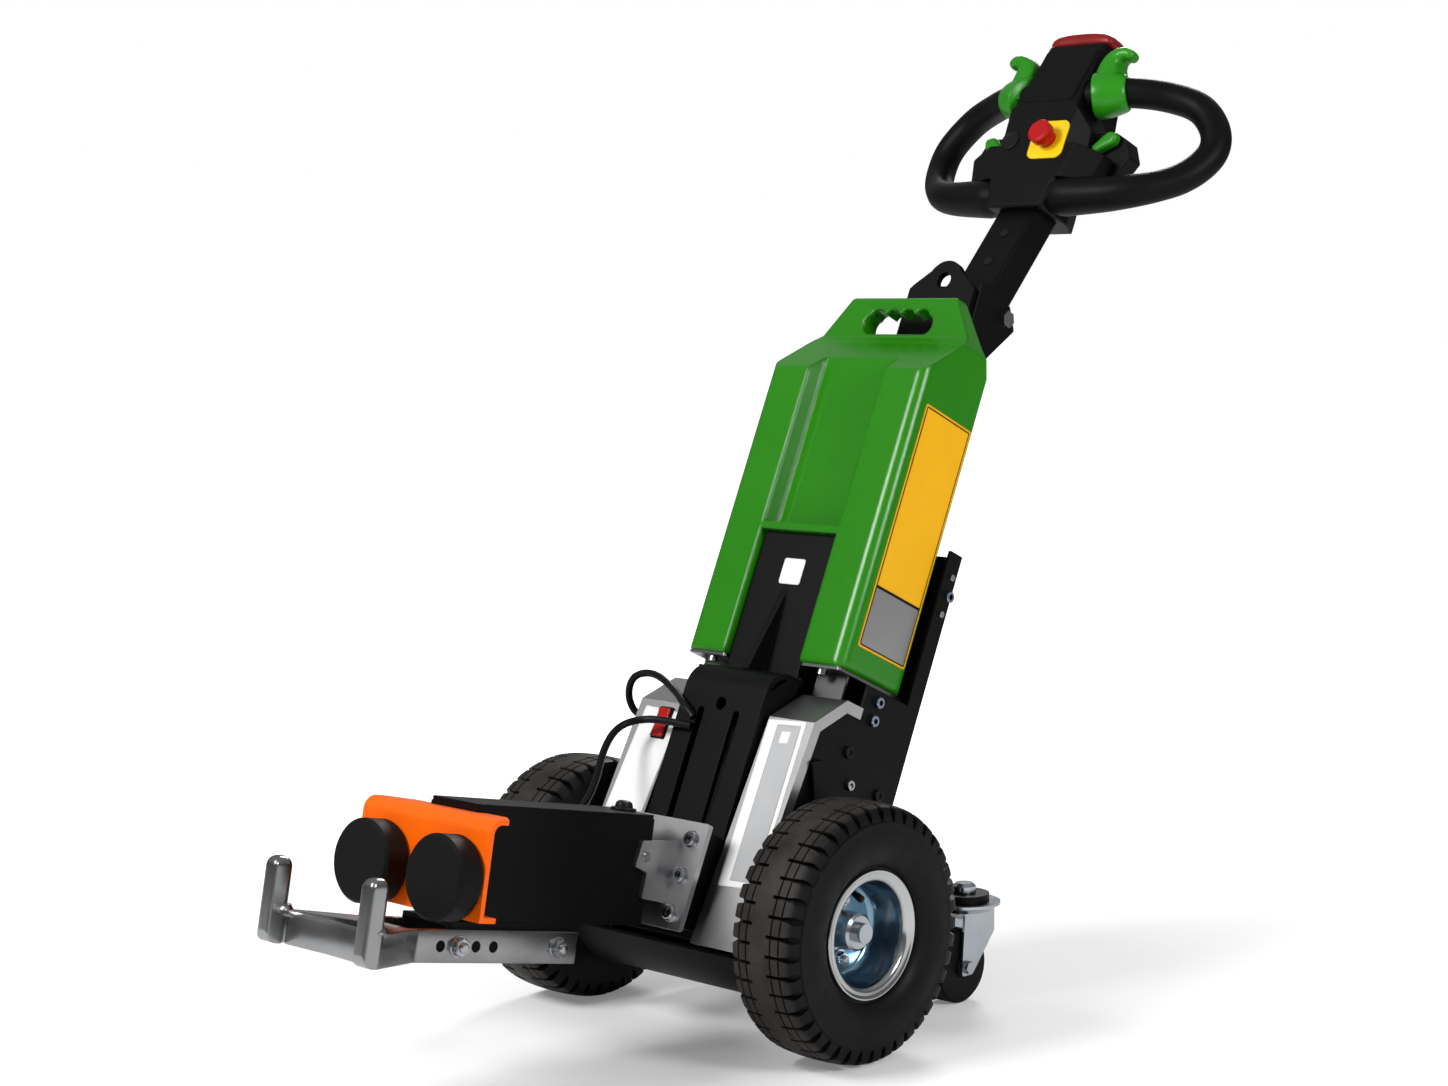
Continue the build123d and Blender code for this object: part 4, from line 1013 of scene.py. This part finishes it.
def hook():
    """The fork: side bars with upright prongs, the plate between them and its skirt."""
    work = bmesh.new()
    height = HOOK_HIGH - HOOK_LOW
    foot = Matrix.Translation((0, 0, HOOK_LOW))
    for hand in (1, -1):
        bar = [(hand * x, y) for x, y in HOOK_BAR]
        add_to(work, plate(rounded(bar, HOOK_BAR_CORNERS), height), foot)
        prong(work, hand)
        x, y = PRONG_WELD_PLACE
        add_to(work, turned(PRONG_WELD, 36), Matrix.Translation((hand * x, y, HOOK_HIGH)))
    outline = rounded(HOOK_PLATE, HOOK_PLATE_CORNERS, 8)
    under = Matrix.Translation((0, 0, HOOK_HIGH - HOOK_PLATE_THICKNESS))
    add_to(work, plate(outline, HOOK_PLATE_THICKNESS, 1.6), under)
    outline = rounded(HOOK_SKIRT, HOOK_SKIRT_CORNERS, 10)
    add_to(work, plate(outline, height - HOOK_SKIRT_GAP, 1.4), foot)
    mesh = mesh_of(work, "hook_steel")
    made = piece("hook_steel", mesh, "hitch", FINISHES["galvanised"], ARM)
    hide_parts("hook_fork")
    # Thin dark discs of painted shade stand for the spare holes in the side bars
    work = bmesh.new()
    for hand in (1, -1):
        for forward in SPARE_HOLES:
            place = Matrix.Translation((hand * HOLE_SIDE, -forward, HOLE_LINE))
            add_to(work, turned(SPARE_HOLE_SHADE, 28), place @ facing((hand, 0, 0)))
    piece("hook_hole_shades", mesh_of(work, "hook_hole_shades"), "hitch", PAINTED_SHADE_BLACK, ARM)


def film(name, centre, normal, up, size, thickness, corner, material):
    """A thin rounded plate on the chassis, which faces a direction and is upright along another."""
    outward = Vector(normal).normalized()
    across = Vector(up).cross(outward).normalized()
    turn = Matrix((across, outward.cross(across), outward)).transposed().to_4x4()
    mesh = mesh_of(slab(*size, thickness, corner), name)
    piece(name, mesh, "chassis", material, COLUMN @ Matrix.Translation(centre) @ turn)


def bolt_head(radius, height, socket=True):
    """The profile of a round bolt head, with its socket if it has one."""
    bevel = radius * 0.12
    profile = [(0, 0), (radius, 0), (radius, height - bevel), (radius - bevel, height)]
    if not socket:
        return profile + [(0, height)]
    return profile + [(radius * 0.5, height), (radius * 0.46, height * 0.45), (0, height * 0.4)]


def bolts_at(name, frame_of, places, direction, profile, body, material, steps=28):
    """Many equal turned bolt heads as one mesh."""
    work = bmesh.new()
    for place in places:
        add_to(work, turned(profile, steps), Matrix.Translation(place) @ facing(direction))
    piece(name, mesh_of(work, name), body, material, frame_of)


def cable(name, route, body, node):
    """One cable stretch as a smooth line through the part's own route points."""
    curve = bpy.data.curves.new(name, "CURVE")
    curve.dimensions = "3D"
    spline = curve.splines.new("NURBS")
    points = [COLUMN @ Vector(point) for point in route]
    spline.points.add(len(points) - 1)
    for point, place in zip(spline.points, points):
        point.co = (*place, 1)
    spline.order_u = 3
    spline.use_endpoint_u = True
    spline.resolution_u = 12
    curve.bevel_depth = CABLE_DIAMETER / 2 * MM
    curve.bevel_resolution = 6
    made = bpy.data.objects.new(name, curve)
    bpy.context.scene.collection.objects.link(made)
    curve.materials.append(FINISHES["cable_black"])
    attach(made, body)
    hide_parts(node)


def studio():
    """Pale floor, soft lamps, plain world and the camera."""
    floor = Finish("studio_floor")
    seen = floor.node("ShaderNodeLightPath", out="Is Camera Ray")
    reach = floor.reach(floor.node("ShaderNodeTexCoord", out="Object"))
    haze = floor.ramp((reach - 0.5) * 0.6, (0.0, 0.18), (1.0, 1.0))
    floor_material = floor.surface(
        Base_Color=(0.86, 0.86, 0.86, 1),
        Roughness=0.9,
        Specular_IOR_Level=0.1,
        Emission_Color=haze * seen,
        Emission_Strength=1.0,
    )
    mesh = bpy.data.meshes.new("studio_floor")
    corners = [(x * FLOOR_REACH, y * FLOOR_REACH, 0) for x, y in ((-1, -1), (1, -1), (1, 1), (-1, 1))]
    mesh.from_pydata(corners, [], [(0, 1, 2, 3)])
    ground = bpy.data.objects.new("studio_floor", mesh)
    mesh.materials.append(floor_material)
    bpy.context.scene.collection.objects.link(ground)

    # The world lights the object plainly from above, and the camera sees it white
    world = bpy.data.worlds.new("studio_world")
    bpy.context.scene.world = world
    world.use_nodes = True
    tree = world.node_tree
    background = tree.nodes["Background"]
    path = tree.nodes.new("ShaderNodeLightPath")
    mix = tree.nodes.new("ShaderNodeMix")
    mix.data_type = "FLOAT"
    tree.links.new(path.outputs["Is Camera Ray"], mix.inputs[0])
    mix.inputs[2].default_value = WORLD_LIGHT
    mix.inputs[3].default_value = WORLD_BACKDROP
    tree.links.new(mix.outputs[0], background.inputs["Strength"])
    where = tree.nodes.new("ShaderNodeTexCoord")
    split = tree.nodes.new("ShaderNodeSeparateXYZ")
    tree.links.new(where.outputs["Generated"], split.inputs[0])
    ramp = tree.nodes.new("ShaderNodeValToRGB")
    ramp.color_ramp.elements[0].position = 0.0
    ramp.color_ramp.elements[0].color = (0.28, 0.28, 0.29, 1)
    ramp.color_ramp.elements[1].position = 0.75
    ramp.color_ramp.elements[1].color = (1, 1, 1, 1)
    tree.links.new(split.outputs[2], ramp.inputs[0])
    tint = tree.nodes.new("ShaderNodeMix")
    tint.data_type = "RGBA"
    tree.links.new(path.outputs["Is Camera Ray"], tint.inputs[0])
    tree.links.new(ramp.outputs[0], tint.inputs[MIX_FIRST])
    tint.inputs[MIX_SECOND].default_value = (1, 1, 1, 1)
    tree.links.new(tint.outputs[MIX_RESULT], background.inputs["Color"])

    for name, place, power, size in LAMPS:
        data = bpy.data.lights.new(name, "AREA")
        data.energy = power
        data.size = size
        lamp = bpy.data.objects.new(name, data)
        lamp.location = place
        aim = Vector(LAMP_AIM) - Vector(place)
        lamp.rotation_euler = aim.to_track_quat("-Z", "Y").to_euler()
        bpy.context.scene.collection.objects.link(lamp)

    data = bpy.data.cameras.new("camera")
    data.lens = CAMERA_LENS
    data.sensor_width = 36.0
    data.sensor_fit = "HORIZONTAL"
    data.clip_end = 100.0
    camera = bpy.data.objects.new("camera", data)
    camera.location = WORLD @ Vector(CAMERA_PLACE)
    camera.rotation_euler = (math.radians(90 - CAMERA_DOWN), 0, math.radians(CAMERA_AZIMUTH))
    bpy.context.scene.collection.objects.link(camera)
    bpy.context.scene.camera = camera
    bpy.context.scene.view_settings.view_transform = "Standard"


def labels():
    """Blank labels, plates and stickers, as raised films, one of them partly a painted highlight."""
    slope = math.atan2(COVER_RUN, COVER_RISE)
    front = (0, -math.cos(slope), math.sin(slope))
    upright = (0, math.sin(slope), math.cos(slope))
    aside = math.sin(COVER_NARROWING)
    level = math.cos(COVER_NARROWING)
    left = (-aside, math.sin(slope), level)
    right = (aside, math.sin(slope), level)

    def cover(across, up, lift):
        back = COVER_FRONT + (up - COVER_FOOT) * COVER_RUN / COVER_RISE
        return (across, back - lift, up)

    film("cover_label", cover(93, 99, 0), front, left, (52, 180), 0.4, 2, WHITE_LABEL_AND_HIGHLIGHT)
    film("cover_band", cover(97, 100, 0.4), front, left, (32, 168), 0.15, 1, GREY_BAND)
    film("cover_patch", cover(92, 170, 0.55), front, left, (12, 13), 0.1, 1, WHITE_LABEL_AND_HIGHLIGHT)
    # The white film on the switch cover is partly a sticker round the switch and partly a painted highlight on the
    # bright stainless face below it
    film("cover_highlight_film", cover(-92, 82, 0), front, right, (54, 200), 0.3, 2, WHITE_LABEL_AND_HIGHLIGHT)
    film(
        "switch_bezel",
        cover(-81, 166, 0.3),
        front,
        upright,
        (19.6, 35.6),
        1.7,
        1.5,
        FINISHES["black_plastic"],
    )
    side = (1, 0, 0)
    up = (0, 0, 1)
    x = CASE_HALF_WIDTH
    film("case_label", (x, 28, 421), side, up, (82, 270), 0.4, 3, AMBER_LABEL)
    film("case_label_line", (x + 0.4, 28, 421), side, up, (77, 265), 0.1, 2, BLACK_BOLT)
    film("case_label_field", (x + 0.5, 28, 453), side, up, (74, 198), 0.1, 1, AMBER_LABEL)
    film("case_plate", (x + 0.5, 28, 320.5), side, up, (74, 61), 0.25, 1, SILVER_FILM)
    film("spine_sticker", (2, -22, 356), (0, -1, 0), up, (30, 29), 0.3, 3, WHITE_LABEL_AND_HIGHLIGHT)


def zinc_bolts(name, places, direction, profile, frame_of=COLUMN, body="chassis", steps=28):
    """Bright bolts, on the chassis unless a frame and a body are given."""
    bolts_at(name, frame_of, places, direction, profile, body, BOLT_STEEL, steps)


def black_bolts(name, places, direction, profile, frame_of, body, steps=28):
    """Blackened bolts and plugs."""
    bolts_at(name, frame_of, places, direction, profile, body, BLACK_BOLT, steps)


def socket_shades(name, places, direction):
    """Dark hexagons of painted shade at the floors of the sockets in the heads of bolts on the chassis."""
    bolts_at(name, COLUMN, places, direction, SOCKET_SHADE, "chassis", PAINTED_SHADE_BLACK, 6)


def fasteners():
    """Bolts, washers and plugs that the part leaves to the looks."""
    front = (0, -1, 0)
    mount = [(x, -104, up) for x in (-52, 52) for up in (44, 6, -32)]
    zinc_bolts("mount_washers", mount, front, MOUNT_WASHER)
    # Dark hexagons of painted shade sit in the bolt sockets
    socket_shades("mount_socket_shades", [(x, y - 3.7, z) for x, y, z in mount], front)
    heads = [(x, y - 1.6, z) for x, y, z in mount]
    zinc_bolts("mount_bolts", heads, front, bolt_head(7.5, 5.0))
    for hand, name in ((1, "left"), (-1, "right")):
        side = (hand, 0, 0)
        x = hand * (BODY_HALF_WIDTH - 2)
        big = [(x, 30, 239), (x, 29.7, 219), (x, 92, 377)]
        head = bolt_head(6.0, 5.0)
        bolts_at(
            "side_bolts_" + name, COLUMN, big, side, head, "chassis", BLUE_ZINC
        )
        socket_shades("side_sockets_" + name, [(x + hand * 2.1, y, z) for x, y, z in big], side)
        small = [(x, 90, 398), (x, 89, 356.5)]
        zinc_bolts("strip_screws_" + name, small, side, bolt_head(3.6, 2.4, False))
        black = [(x, 6.7, 177.8), (x, 70, 150), (x, 70, 60)]
        black_bolts("plate_screws_" + name, black, side, bolt_head(6.5, 3.6), COLUMN, "chassis")
        x = hand * (BODY_HALF_WIDTH + 4)
        carrier = [(x, 15, 146), (x, 58, 112), (x, 34, -14), (x, -32, -14)]
        zinc_bolts("carrier_bolts_" + name, carrier, side, bolt_head(5.5, 4.0))
    tray = [(x, -17, 255) for x in (-78, 78)]
    zinc_bolts("tray_bolts", tray, (0, 0, -1), bolt_head(5.0, 6.0))
    plugs = [(0, -20, up) for up in (71, 115, 159)]
    black_bolts("tube_plugs", plugs, front, TUBE_PLUG, TILLER, "tiller")
    black_bolts("lid_bolt", [(0, 0, 41)], (0, 0, 1), LID_BOLT, ARM, "hitch", 40)
    black_bolts("face_plug", [(-34, 0, 88)], front, FACE_PLUG, FACE, "tiller", 40)
    for hand, name in ((1, "left"), (-1, "right")):
        side = (hand, 0, 0)
        places = [(hand * HOOK_SIDE, -forward, HOLE_LINE) for forward in BOLTED_HOLES]
        zinc_bolts("hook_washers_" + name, places, side, HOOK_WASHER, ARM, "hitch")
        zinc_bolts("hook_nuts_" + name, places, side, HOOK_NUT, ARM, "hitch", 6)
        zinc_bolts("hook_ends_" + name, places, side, HOOK_END, ARM, "hitch")


def wheel_details():
    """Hub collars and valve stems of the drive wheels."""
    for hand, name in ((1, "left"), (-1, "right")):
        place = wheel_frame(hand)
        body = "wheel_" + name
        mesh = mesh_of(turned(HUB_COLLAR, 48), "hub_collar_" + name)
        piece("hub_collar_" + name, mesh, body, BOLT_STEEL, place)
        lean = Matrix.Rotation(math.radians(VALVE_LEAN), 4, "Y")
        place = place @ (Matrix.Translation(VALVE_PLACE) @ lean)
        mesh = mesh_of(turned(VALVE_STEM, 24), "valve_" + name)
        piece("valve_" + name, mesh, body, FINISHES["cable_black"], place)


studio()
dress_cad()
handle_bar(1, "handle_loop_left")
handle_bar(-1, "handle_loop_right")
tyre(1, "wheel_left", "tyre_left")
tyre(-1, "wheel_right", "tyre_right")
rim(1, "wheel_left", "rim_left")
rim(-1, "wheel_right", "rim_right")
paddles()
belly_button()
horn_buttons()
hook()
labels()
fasteners()
wheel_details()
cable("switch_lead", SWITCH_CABLE, "chassis", "switch_cable")
cable("arm_lead", ARM_CABLE, "chassis", "arm_cable")
